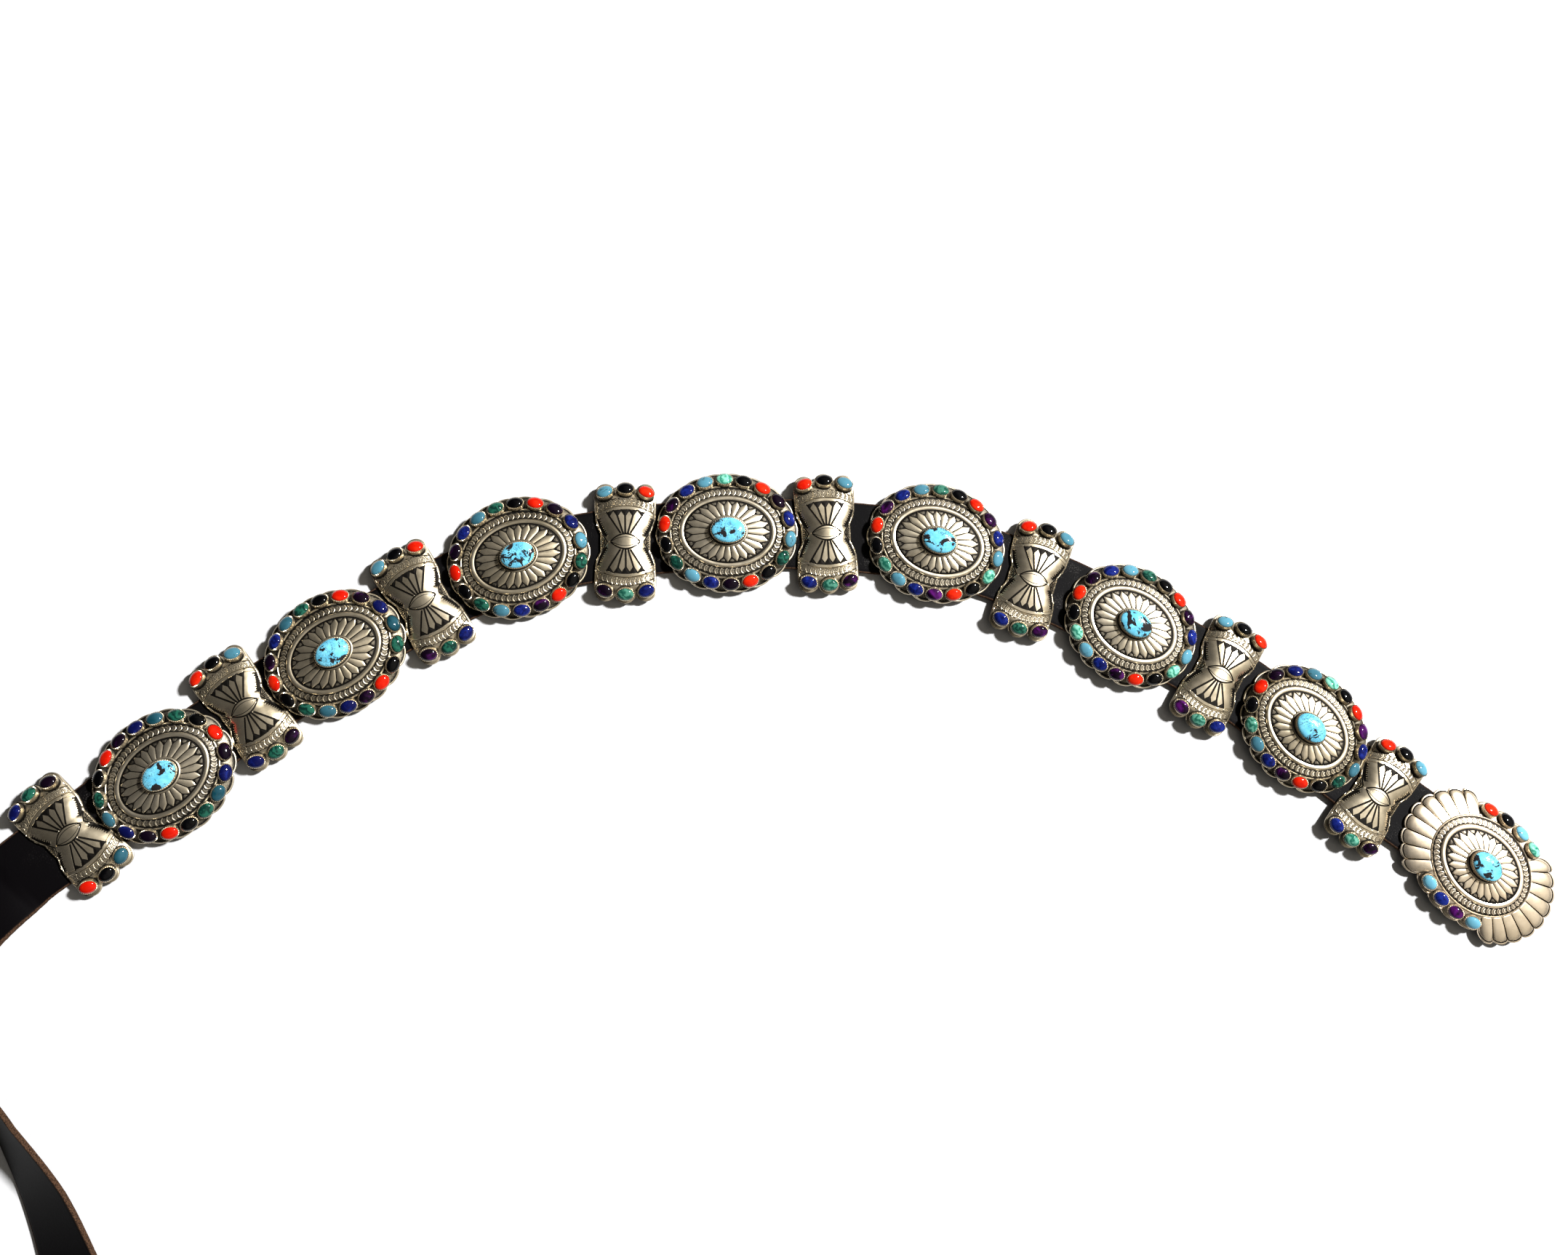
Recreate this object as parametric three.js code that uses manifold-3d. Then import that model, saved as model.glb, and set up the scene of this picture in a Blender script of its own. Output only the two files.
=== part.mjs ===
// A silver concho belt on a black leather strap, lying flat with its tail turned up on edge.
// Millimetres, +Z up, floor at z = 0. Seven oval conchos and eight butterfly spacers are carried by
// soldered back loops that the strap runs through; the buckle closes the right-hand end.
import * as THREE from "three";
import { mergeVertices } from "three/addons/utils/BufferGeometryUtils.js";
import Module from "manifold-3d";

const wasm = await Module();
wasm.setup();

// Driving dimensions

const STRAP_WIDTH = 40;
const STRAP_THICK = 3;
const LOOP_THICK = 1;                          // the back loops lie on the floor
const GAP = 0.3;                               // clearance that keeps neighbouring pieces apart
const STRAP_UNDER = LOOP_THICK + GAP;
const SHEET = 1.1;                             // thickness of the silver sheet at a rim
const RIM_TOP = STRAP_UNDER + STRAP_THICK + GAP + 0.1 + SHEET;

const LOOP_REACH = 24;                         // inner half width of a back loop, across the strap
const LOOP_WALL = 1.5;
const LOOP_LENGTH = 7;                         // along the strap

const RIM_STONE = { length: 9.4, width: 7.2, wall: 3.4, dome: 1.6, sink: 0.5, tilt: 25 };
const BEZEL = 0.35;                            // silver round a stone
const STONES_ROUND = 18;
const STONE_SIDES = 6;
const CENTRE_SIDES = 10;                       // of the centre bezel and its stone

// Rings of the oval concho inside its flange: half length, half width, height of the surface.
const CONCHO_RINGS = [
  { name: "band_edge", a: 31.0, b: 24.8, z: 10.2 },
  { name: "field_edge", a: 24.4, b: 17.6, z: 11.7 },
];
// The flange slopes down from the band in one flat facet for each stone; these run down its slope.
const FLANGE = { tip: 10.4, valley: 8.3, stone: 4.6 };
const STONE_SEAT = 8.1;                        // height of the slope under a spacer's stone
const CROWN = 13.8;                            // height of the silver under the centre bezel
const CENTRE_BEZEL = { a: 10.2, b: 7.7, wall: 0.7, foot: 12.2, floor: 14.6, top: 17.4 };
const TURQUOISE = { shoulder: 18.2, top: 20.2 };

// One quarter of a butterfly's outline, from the side tab to the middle lobe of its fan.
const BUTTERFLY_EDGE = [
  { x: 14.1, y: 0 }, { x: 14.1, y: 3.9 }, { x: 16.9, y: 12.5 }, { x: 17.3, y: 27.5 },
  { x: 15.0, y: 32.6 }, { x: 10.0, y: 33.4 }, { x: 6.4, y: 31.2 }, { x: 3.2, y: 34.4 },
];
const BUTTERFLY_SHOULDER = 9.4;
const BUTTERFLY_CROWN = 11.2;
const BUTTERFLY_STONES = [
  { x: -11.2, y: 26.8, turn: 22 }, { x: 0, y: 28.7, turn: 0 }, { x: 11.2, y: 26.8, turn: -22 },
];

// Lobes of one buckle fan, by the direction they point and how far their tips reach.
const BUCKLE_LOBES = [
  { angle: 46.5, reach: 43.5 }, { angle: 35.5, reach: 46.3 }, { angle: 24.5, reach: 48.6 },
  { angle: 12.5, reach: 50.2 }, { angle: 0, reach: 50.8 }, { angle: -12.5, reach: 50.2 },
  { angle: -24.5, reach: 48.6 }, { angle: -35.5, reach: 46.3 }, { angle: -46.5, reach: 43.5 },
];
const BUCKLE_OUTLINE = { a: 34, b: 27 };
const BUCKLE_LOOP = { x: -24, legTop: 7.3 };   // soldered under the fan over the strap's end
const HOOK = { root: 26, tip: 10, half: 4, under: 1.4, thick: 1.5, rise: 9 };
const BUCKLE_SIDE_STONES = [                   // the same on both long sides
  { x: -16.6, y: 26.9, turn: 12 }, { x: -5.6, y: 29.2, turn: 3 },
  { x: 5.6, y: 29.2, turn: -3 }, { x: 16.6, y: 26.9, turn: -12 },
];

// Where the pieces lie: the middle of each, its turn in degrees, and the turn of its stone ring.
const CONCHOS = [
  { x: -257.4, y: 9.9, turn: 40.0, stones: -9 }, { x: -168.1, y: 76.9, turn: 34.0, stones: 3.5 },
  { x: -68.8, y: 131.6, turn: 18.5, stones: 7 }, { x: 47.8, y: 147.2, turn: 0, stones: 3.5 },
  { x: 167.5, y: 142.8, turn: -15.5, stones: 10.5 }, { x: 280.2, y: 96.4, turn: -31.0, stones: 10.5 },
  { x: 381.2, y: 37.6, turn: -44.0, stones: 12.5 },
];
const BUTTERFLIES = [
  { x: -305.5, y: -21.5, turn: 45.0 }, { x: -215.4, y: 46.9, turn: 36.5 },
  { x: -121.2, y: 106.4, turn: 31.0 }, { x: -9.5, y: 141.0, turn: 0.5 },
  { x: 104.2, y: 147.5, turn: 3.0 }, { x: 223.1, y: 122.3, turn: -17.5 },
  { x: 331.4, y: 68.4, turn: -28.8 }, { x: 422.6, y: -1.5, turn: -35.0 },
];
const BUCKLE = { x: 482.3, y: -41.1, turn: -43 };

// The strap's middle line from under the buckle to its free end, and how far it rolls on edge.
const STRAP = [
  { x: 471, y: -31.5, roll: 0 }, { x: 424, y: 1, roll: 0 }, { x: 332, y: 69, roll: 0 },
  { x: 223, y: 123.5, roll: 0 }, { x: 166, y: 140.5, roll: 0 }, { x: 104, y: 147, roll: 0 },
  { x: 48, y: 146.5, roll: 0 }, { x: -10, y: 141.5, roll: 0 }, { x: -68, y: 129, roll: 0 },
  { x: -121, y: 106, roll: 0 }, { x: -214.5, y: 46, roll: 0 }, { x: -304.5, y: -22.5, roll: 0 },
  { x: -334, y: -46, roll: 0 }, { x: -353, y: -73, roll: 24 }, { x: -358, y: -109, roll: 52 },
  { x: -349, y: -143, roll: 64 }, { x: -328, y: -176, roll: 58 }, { x: -308, y: -211, roll: 42 },
  { x: -295.5, y: -243, roll: 31 }, { x: -290, y: -262, roll: 28 },
];
const STRAP_STEP = { flat: 48, rolled: 14 };   // longest stretch of strap between two sections

// Materials

const silver = new THREE.MeshStandardMaterial({ color: "#b3a999", roughness: 0.35, metalness: 1 });
const turquoise = new THREE.MeshStandardMaterial({ color: "#7fd0e6", roughness: 0.3, metalness: 0 });
const leather = new THREE.MeshStandardMaterial({ color: "#1b191b", roughness: 0.6, metalness: 0 });

// Shapes

const rad = THREE.MathUtils.degToRad;

// A closed shape from points and the flat polygons between them, seen counter-clockwise from outside.
function faceted(points, polygons) {
  const triangles = polygons.flatMap((p) => p.slice(2).flatMap((last, i) => [p[0], p[i + 1], last]));
  const shape = new THREE.BufferGeometry();
  shape.setAttribute("position", new THREE.Float32BufferAttribute(points.flat(), 3));
  return shape.setIndex(triangles);
}

function block(x0, x1, y0, y1, z0, z1) {
  const shape = new THREE.BoxGeometry(x1 - x0, y1 - y0, z1 - z0);
  shape.translate((x0 + x1) / 2, (y0 + y1) / 2, (z0 + z1) / 2);
  shape.deleteAttribute("normal");
  shape.deleteAttribute("uv");
  return mergeVertices(shape);
}

// The solid that closed shapes make when they are soldered together.
function solder(...shapes) {
  const solids = shapes.map((shape) => new wasm.Manifold(new wasm.Mesh({
    numProp: 3, vertProperties: shape.attributes.position.array, triVerts: shape.index.array,
  })));
  return solids.reduce((whole, solid) => whole.add(solid));
}

// A closed shape through rings of equally many [x, y, z] points. The first and last ring are capped,
// and each cap's middle may lie higher than its ring.
function skin(rings, crown = 0, hollow = 0) {
  const count = rings[0].length;
  const points = rings.flat();
  const polygons = [];
  for (let r = 0; r + 1 < rings.length; r++) {
    for (let i = 0; i < count; i++) {
      const a = r * count + i, b = r * count + ((i + 1) % count);
      polygons.push([a, b, b + count, a + count]);
    }
  }
  const last = points.length - count;
  for (let i = 0; i < count; i++) {
    const next = (i + 1) % count;
    polygons.push([last + count, next, i], [last + count + 1, last + i, last + next]);
  }
  return faceted([...points, middle(rings[0], hollow), middle(rings.at(-1), crown)], polygons);
}

function middle(ring, rise) {
  const [x, y, z] = [0, 1, 2].map((k) => ring.reduce((sum, p) => sum + p[k], 0) / ring.length);
  return [x, y, z + rise];
}

function oval(a, b, z, count) {
  return Array.from({ length: count }, (_, i) => {
    const t = (2 * Math.PI * i) / count;
    return [a * Math.cos(t), b * Math.sin(t), z];
  });
}

// A stone in its bezel, standing on the silver at (x, y, z) and leaning out by its tilt.
function stone({ x, y, z, lean }) {
  const { length, width, wall, dome, sink, tilt } = RIM_STONE;
  const a = length / 2 + BEZEL, b = width / 2 + BEZEL;
  const shape = skin([oval(a, b, -sink, STONE_SIDES), oval(a * 0.96, b * 0.96, wall, STONE_SIDES)], dome);
  return shape.rotateX(rad(-tilt)).rotateZ(rad(lean)).translate(x, y, z);
}

// The soldered strip behind a piece: flat on the floor, with a leg up to the silver at each side.
function backLoop(middle, legTop) {
  const reach = LOOP_REACH, outer = reach + LOOP_WALL;
  const x0 = middle - LOOP_LENGTH / 2, x1 = middle + LOOP_LENGTH / 2;
  return [
    block(x0, x1, -outer, outer, 0, LOOP_THICK),
    block(x0, x1, -outer, -reach, 0, legTop), block(x0, x1, reach, outer, 0, legTop),
  ];
}

// The collar and bezel that hold a centre stone: a short oval block, cut out for the stone.
function addCentreBezel(plate) {
  const { a, b, wall, foot, floor, top } = CENTRE_BEZEL;
  const inner = (z) => oval(a - wall, b - wall, z, CENTRE_SIDES);
  const collar = skin([oval(a + 0.8, b + 0.8, foot, CENTRE_SIDES), oval(a, b, top, CENTRE_SIDES)]);
  return plate.add(solder(collar)).subtract(solder(skin([inner(floor), inner(top + 1)])));
}

function centreStone() {
  const { a, b, wall, floor } = CENTRE_BEZEL;
  const ring = (z, share) => oval((a - wall - GAP) * share, (b - wall - GAP) * share, z, CENTRE_SIDES);
  const crown = TURQUOISE.top - TURQUOISE.shoulder;
  return solder(skin([ring(floor + GAP, 1), ring(TURQUOISE.shoulder, 0.9)], crown));
}

// Domed sheet: rings from the rim up to its crown, and hollow below.
function sheet(rim, rings, crown) {
  const below = (ring, share) => ring.map(([x, y, z]) => [x * share, y * share, z - SHEET]);
  const height = (ring) => ring[0][2];
  return skin(
    [below(rings[0], 0.98), below(rim, 1), rim, ...rings],
    crown - height(rings.at(-1)), crown - 1.5 * SHEET - height(rings[0]) + SHEET,
  );
}

// An oval plate whose flange has a flat facet from each side of the band's polygon: down to a tip in
// its middle and a valley at each of its corners. Gives the facets too, to stand stones on.
function ovalPlate(angles) {
  const rings = CONCHO_RINGS.map(({ a, b, z }) => angles.map((t) => (
    new THREE.Vector3(a * Math.cos(t), b * Math.sin(t), z))));
  const count = angles.length, tilt = rad(RIM_STONE.tilt);
  const facets = rings[0].map((corner, i) => {
    const next = rings[0][(i + 1) % count];
    const out = new THREE.Vector3(next.y - corner.y, corner.x - next.x, 0).normalize();
    return {
      foot: corner.clone().add(next).multiplyScalar(0.5),
      down: out.clone().multiplyScalar(Math.cos(tilt)).setZ(-Math.sin(tilt)),
      normal: out.clone().multiplyScalar(Math.sin(tilt)).setZ(Math.cos(tilt)),
      lean: THREE.MathUtils.radToDeg(Math.atan2(out.y, out.x)) - 90,
    };
  });
  const valleys = rings[0].map((corner, i) => {
    const crease = facets.at(i - 1).normal.clone().cross(facets[i].normal).normalize();
    return corner.clone().addScaledVector(crease, crease.z > 0 ? -FLANGE.valley : FLANGE.valley);
  });
  const tips = facets.map(({ foot, down }) => foot.clone().addScaledVector(down, FLANGE.tip));
  const top = [...rings[0], ...valleys, ...tips];
  const lowered = top.map((p) => new THREE.Vector3(p.x, p.y, p.z - SHEET));
  const hubs = [new THREE.Vector3(0, 0, CROWN), new THREE.Vector3(0, 0, CROWN - 1.5 * SHEET)];
  const points = [...top, ...lowered, ...rings[1], ...hubs].map((p) => p.toArray());
  const under = top.length, field = 2 * top.length, hub = field + count;
  const polygons = facets.flatMap((_, i) => {
    const n = (i + 1) % count, valley = count + i, nextValley = count + n, tip = 2 * count + i;
    const slope = [nextValley, n, i, valley], lip = [tip, nextValley, valley];
    return [
      slope, lip, ...[slope, lip].map((p) => p.map((k) => k + under).reverse()),
      [valley, valley + under, tip + under, tip], [tip, tip + under, nextValley + under, nextValley],
      [i, n, field + n, field + i], [field + i, field + n, hub], [under + n, under + i, hub + 1],
    ];
  });
  return { plate: faceted(points, polygons), facets };
}

function concho(stonesTurn) {
  const angles = Array.from({ length: STONES_ROUND }, (_, i) => {
    const t = rad(90 + stonesTurn + (360 / STONES_ROUND) * (i - 0.5));
    return t + 0.045 * Math.sin(2 * t);        // nearly equal steps along the oval
  });
  const { plate, facets } = ovalPlate(angles);
  const stones = facets.map(({ foot, down, lean }) => {
    const { x, y, z } = foot.clone().addScaledVector(down, FLANGE.stone);
    return stone({ x, y, z, lean });
  });
  return addCentreBezel(solder(plate, ...stones, ...backLoop(0, CONCHO_RINGS[0].z - 0.8)));
}

// The stones of one long side, and the same again on the other.
function bothSides(rows) {
  return [0, Math.PI].flatMap((end) => rows.map(({ x, y, turn }) => (
    stone({ x, y, z: STONE_SEAT, lean: turn }).rotateZ(end))));
}

function butterfly() {
  const half = [...BUTTERFLY_EDGE, ...BUTTERFLY_EDGE.toReversed().map(({ x, y }) => ({ x: -x, y }))];
  const edge = [...half, ...half.slice(1, -1).reverse().map(({ x, y }) => ({ x, y: -y }))];
  const rim = edge.map(({ x, y }) => [x, y, RIM_TOP]);
  const shoulder = edge.map(({ x, y }) => [x * 0.84, y * 0.72, BUTTERFLY_SHOULDER]);
  const plate = sheet(rim, [shoulder], BUTTERFLY_CROWN);
  return solder(plate, ...bothSides(BUTTERFLY_STONES), ...backLoop(0, BUTTERFLY_SHOULDER - 0.6));
}

function buckle() {
  const rim = [];
  const lobe = ({ angle, reach }, share, depth) => {
    const t = rad(angle + share * 6);
    return [(reach - depth) * Math.cos(t), (reach - depth) * Math.sin(t), RIM_TOP];
  };
  const fan = BUCKLE_LOBES.toReversed().flatMap((row) => [lobe(row, -0.98, 2.4), lobe(row, 0, 0)]);
  fan.push(lobe(BUCKLE_LOBES[0], 0.98, 2.4));
  const side = BUCKLE_SIDE_STONES.toReversed().flatMap(({ x, y, turn }) => [
    [x + 5.5, y + 3.4 - 0.07 * turn, RIM_TOP], [x - 0.08 * turn, y + 5.2, RIM_TOP],
  ]);
  const mirror = ([x, y, z]) => [-x, -y, z];
  rim.push(...fan, ...side, ...fan.map(mirror), ...side.map(mirror));
  const rings = CONCHO_RINGS.map(({ a, b, z }) => rim.map(([x, y]) => {
    const t = Math.atan2(y / BUCKLE_OUTLINE.b, x / BUCKLE_OUTLINE.a);
    return [a * Math.cos(t), b * Math.sin(t), z];
  }));
  const plate = sheet(rim, rings, CROWN);
  const { root, tip, half, under, thick, rise } = HOOK;
  const hook = [
    block(tip, root, -half, half, under, under + thick),
    block(root - thick, root, -half, half, under, under + rise),
  ];
  const loop = backLoop(BUCKLE_LOOP.x, BUCKLE_LOOP.legTop);
  return addCentreBezel(solder(plate, ...bothSides(BUCKLE_SIDE_STONES), ...hook, ...loop));
}

function strap() {
  const line = new THREE.CatmullRomCurve3(STRAP.map(({ x, y }) => new THREE.Vector3(x, y, 0)));
  const up = new THREE.Vector3(0, 0, 1);
  const sections = [];
  for (let i = 0; i + 1 < STRAP.length; i++) {
    const span = Math.hypot(STRAP[i + 1].x - STRAP[i].x, STRAP[i + 1].y - STRAP[i].y);
    const steps = Math.ceil(span / (STRAP[i + 1].roll > 0 ? STRAP_STEP.rolled : STRAP_STEP.flat));
    const last = i + 2 === STRAP.length ? 1 : 0;
    for (let k = 0; k < steps + last; k++) sections.push({ row: i, share: k / steps });
  }
  const rings = sections.map(({ row, share }) => {
    const at = (row + share) / (STRAP.length - 1);
    const middle = line.getPoint(at), along = line.getTangent(at);
    const next = STRAP[Math.min(row + 1, STRAP.length - 1)];
    const roll = rad(THREE.MathUtils.lerp(STRAP[row].roll, next.roll, share));
    const left = new THREE.Vector3(-along.y, along.x, 0);
    const across = left.clone().multiplyScalar(Math.cos(roll)).addScaledVector(up, Math.sin(roll));
    const out = up.clone().multiplyScalar(Math.cos(roll)).addScaledVector(left, -Math.sin(roll));
    const half = STRAP_THICK / 2;
    middle.z = Math.max(STRAP_UNDER + half, (STRAP_WIDTH / 2) * Math.sin(roll) + half * Math.cos(roll));
    return [[-1, -1], [1, -1], [1, 1], [-1, 1]].map(([side, face]) => middle.clone()
      .addScaledVector(across, (side * STRAP_WIDTH) / 2).addScaledVector(out, face * half).toArray());
  });
  return solder(skin(rings));
}

// Assembly

function mesh(name, solid, material, { x = 0, y = 0, turn = 0 } = {}) {
  const { vertProperties, triVerts, numProp } = solid.getMesh();
  const geometry = new THREE.BufferGeometry();
  const positions = new Float32Array((vertProperties.length / numProp) * 3);
  for (let i = 0; i < positions.length; i++) {
    positions[i] = vertProperties[Math.floor(i / 3) * numProp + (i % 3)];
  }
  geometry.setAttribute("position", new THREE.BufferAttribute(positions, 3));
  geometry.setIndex(new THREE.BufferAttribute(new Uint32Array(triVerts), 1));
  geometry.computeVertexNormals();
  const piece = new THREE.Mesh(geometry, material);
  piece.name = name;
  piece.position.set(x, y, 0);
  piece.rotation.z = rad(turn);
  return piece;
}

const belt = new THREE.Group();
belt.name = "concho_belt";
belt.add(mesh("strap", strap(), leather));
CONCHOS.forEach((place, i) => {
  belt.add(mesh(`concho_${i + 1}`, concho(place.stones), silver, place));
  belt.add(mesh(`turquoise_${i + 1}`, centreStone(), turquoise, place));
});
const spacer = butterfly();
BUTTERFLIES.forEach((place, i) => belt.add(mesh(`butterfly_${i + 1}`, spacer, silver, place)));
belt.add(mesh("buckle", buckle(), silver, BUCKLE));
belt.add(mesh("buckle_turquoise", centreStone(), turquoise, BUCKLE));

// The origin is the middle of the belt's footprint, on the floor.
belt.updateMatrixWorld(true);
const box = new THREE.Box3().setFromObject(belt, true);
const group = new THREE.Group();
belt.position.set(-(box.min.x + box.max.x) / 2, -(box.min.y + box.max.y) / 2, -box.min.z);
group.add(belt);

export default group;
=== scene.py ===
import math

import bpy
import mathutils
import numpy as np
from mathutils import Matrix, Vector


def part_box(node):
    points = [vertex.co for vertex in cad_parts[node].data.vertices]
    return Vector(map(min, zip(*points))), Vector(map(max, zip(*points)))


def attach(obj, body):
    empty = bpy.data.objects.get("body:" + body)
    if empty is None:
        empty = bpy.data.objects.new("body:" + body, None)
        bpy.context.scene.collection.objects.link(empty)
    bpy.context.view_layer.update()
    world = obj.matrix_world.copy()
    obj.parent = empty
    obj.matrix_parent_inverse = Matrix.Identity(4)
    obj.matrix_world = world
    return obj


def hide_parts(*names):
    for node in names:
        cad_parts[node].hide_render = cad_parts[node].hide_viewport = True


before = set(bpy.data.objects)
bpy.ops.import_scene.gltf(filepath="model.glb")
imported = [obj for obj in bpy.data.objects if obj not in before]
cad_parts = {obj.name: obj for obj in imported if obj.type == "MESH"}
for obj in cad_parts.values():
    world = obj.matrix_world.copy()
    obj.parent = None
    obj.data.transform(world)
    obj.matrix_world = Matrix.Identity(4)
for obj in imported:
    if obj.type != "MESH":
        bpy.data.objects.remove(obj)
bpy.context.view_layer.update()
scene = bpy.context.scene

# The view. The camera hangs 94 cm above the surface, left of the belt's middle, and leans a little
# towards the far side and the buckle, with a lens of 38 mm on a 36 mm sensor.
CAMERA_AT = (-0.0774, 0.0425, 0.9431)
LEAN_FAR, LEAN_RIGHT = 5.69, 4.89
camera_data = bpy.data.cameras.new("camera")
camera_data.sensor_width = 36
camera_data.lens = 38.4
camera = bpy.data.objects.new("camera", camera_data)
camera.matrix_world = (
    Matrix.Translation(CAMERA_AT)
    @ Matrix.Rotation(math.radians(-LEAN_RIGHT), 4, "Y")
    @ Matrix.Rotation(math.radians(LEAN_FAR), 4, "X")
)
scene.collection.objects.link(camera)
scene.camera = camera

# The strap. One length of black harness leather, 40 mm wide and 3 mm thick, cut with square raw
# edges. It runs through every back loop, and its free end rolls up on edge past the last spacer.
MM = 0.001
STRAP_WIDTH = 40
STRAP_THICK = 3
STRAP_UNDER = 1.3  # how high its underside lies, on the flat of the back loops
ROUTE = [  # x, y in millimetres, and the roll in degrees
    (471, -31.5, 0), (424, 1, 0), (332, 69, 0), (223, 123.5, 0), (166, 140.5, 0), (104, 147, 0),
    (48, 146.5, 0), (-10, 141.5, 0), (-68, 129, 0), (-121, 106, 0), (-214.5, 46, 0),
    (-304.5, -22.5, 0), (-334, -46, 0), (-353, -73, 24), (-358, -109, 52), (-349, -143, 64),
    (-328, -176, 58), (-308, -211, 42), (-295.5, -243, 31), (-290, -262, 28),
]
MIDDLE_CONCHO = Vector((47.8, 147.2))  # in the route's millimetres
STRAP_STEPS = 24  # sections between two points of the route
CORNER = 0.5  # radius of the worn corners
EDGE_STARTS = 19  # from the strap's middle
FRAY = 0.06  # how far the raw edges stray
TAIL_STARTS = 11  # the route's point under the last spacer
SHARP = math.radians(40)  # faces that meet at more than this show an edge between them


def middle_of(node):
    """The middle of a node's box, in millimetres on the surface."""
    low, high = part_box(node)
    return Vector(((low.x + high.x) / 2 / MM, (low.y + high.y) / 2 / MM))


class Work:
    """A piece in the making: its points in millimetres, their marks for the finish, and its faces."""

    def __init__(self):
        self.points, self.marks, self.faces, self.count = [], [], [], 0

    def add(self, points, mark=0.0):
        """Takes an array of points with a mark each, and gives their numbers in the same layout."""
        points = np.asarray(points, float)
        ids = np.arange(points[..., 0].size).reshape(points.shape[:-1]) + self.count
        self.points.append(points.reshape(-1, 3))
        self.marks.append(np.broadcast_to(mark, ids.shape).ravel())
        self.count += ids.size
        return ids

    def quads(self, ids):
        """Faces between the rows of a grid that closes on itself. They face up where the rows run
        outward and the columns counter-clockwise."""
        ids = np.c_[ids, ids[:, :1]]
        corners = (ids[:-1, :-1], ids[1:, :-1], ids[1:, 1:], ids[:-1, 1:])
        self.faces += np.stack(corners, -1).reshape(-1, 4).tolist()

    def cap(self, ring, flip=False):
        ring = [int(i) for i in ring]
        self.faces.append(ring[::-1] if flip else ring)

    def solid(self, rows):
        """A closed form from rows that go up from its flat foot to its flat top."""
        self.quads(np.stack(rows)[::-1])
        self.cap(rows[0], flip=True)
        self.cap(rows[-1])

    def piece(self, name, material, mark_name, place=Matrix()):
        """The finished mesh as an object. place is a matrix in millimetres, as the points are."""
        mesh = bpy.data.meshes.new(name)
        points = np.concatenate(self.points) * MM
        mesh.from_pydata(points.tolist(), [], self.faces)
        mark = mesh.attributes.new(mark_name, "FLOAT", "POINT")
        mark.data.foreach_set("value", np.concatenate(self.marks).astype(np.float32))
        mesh.shade_smooth()
        mesh.set_sharp_from_angle(angle=SHARP)
        mesh.transform(Matrix.Translation(place.translation * MM) @ place.to_3x3().to_4x4())
        mesh.materials.append(material)
        made = bpy.data.objects.new(name, mesh)
        scene.collection.objects.link(made)
        return made


def route_at(row, share):
    """A point of the smooth line between two points of the route, and its direction there."""
    spots = [np.array(point[:2], float) for point in ROUTE]
    ends = [2 * spots[0] - spots[1], *spots, 2 * spots[-1] - spots[-2]]
    p0, p1, p2, p3 = ends[row : row + 4]
    d0, d1, d2 = (math.sqrt(np.linalg.norm(b - a)) for a, b in ((p0, p1), (p1, p2), (p2, p3)))
    start = ((p1 - p0) / d0 - (p2 - p0) / (d0 + d1) + (p2 - p1) / d1) * d1
    end = ((p2 - p1) / d1 - (p3 - p1) / (d1 + d2) + (p3 - p2) / d2) * d1
    square = -3 * p1 + 3 * p2 - 2 * start - end
    cube = 2 * p1 - 2 * p2 + start + end
    at = p1 + share * (start + share * (square + share * cube))
    along = start + share * (2 * square + 3 * share * cube)
    return at, along / np.linalg.norm(along)


def strap_section():
    """The strap's section as (across, up, raw): a rectangle with worn corners, counter-clockwise."""
    half, thick = STRAP_WIDTH / 2, STRAP_THICK / 2
    bend = [math.radians(angle) for angle in (0, 30, 60, 90)]
    corner = [(CORNER * math.cos(a), CORNER * math.sin(a)) for a in bend]
    face = [(x, thick, 0) for x in np.linspace(half - CORNER - 2, 2 + CORNER - half, 9)]
    right = [(half, 0, 1)] + [(half - CORNER + c, thick - CORNER + s, 1 - s) for c, s in corner]
    left = [(CORNER - half - s, thick - CORNER + c, 1 - c) for c, s in corner]
    upper = right + face + left
    return upper + [(-x, -y, raw) for x, y, raw in upper]


leather_work = Work()
wide, deep, raw = np.array(strap_section()).T
shift = middle_of("turquoise_4") - MIDDLE_CONCHO
half, thick = STRAP_WIDTH / 2, STRAP_THICK / 2
up = np.array([0, 0, 1.0])
rows, marks = [], []
ragged = np.random.default_rng(7).normal(0, FRAY, (len(ROUTE) * STRAP_STEPS + 1, 2))
for row in range(len(ROUTE) - 1):
    for step in range(STRAP_STEPS + (row + 2 == len(ROUTE))):
        share = step / STRAP_STEPS
        at, along = route_at(row, share)
        roll = math.radians(ROUTE[row][2] + share * (ROUTE[row + 1][2] - ROUTE[row][2]))
        left = np.array([-along[1], along[0], 0])
        across = left * math.cos(roll) + up * math.sin(roll)
        out = up * math.cos(roll) - left * math.sin(roll)
        height = max(STRAP_UNDER + thick, half * math.sin(roll) + thick * math.cos(roll))
        middle = np.array([at[0] + shift.x, at[1] + shift.y, height])
        right_fray, left_fray = ragged[row * STRAP_STEPS + step]
        frayed = wide + np.where(wide > EDGE_STARTS, right_fray, 0)
        frayed = frayed + np.where(wide < -EDGE_STARTS, left_fray, 0)
        rows.append(middle - np.outer(frayed, across) + np.outer(deep, out))
        tail = np.clip(row + share - TAIL_STARTS, 0, 1)
        marks.append(np.where(raw > 0.3, 2 + raw, tail))  # 0 to 1 on the face, above 2 on an edge
ids = leather_work.add(rows, np.array(marks))
leather_work.quads(ids)
leather_work.cap(ids[0])
leather_work.cap(ids[-1], flip=True)


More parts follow.
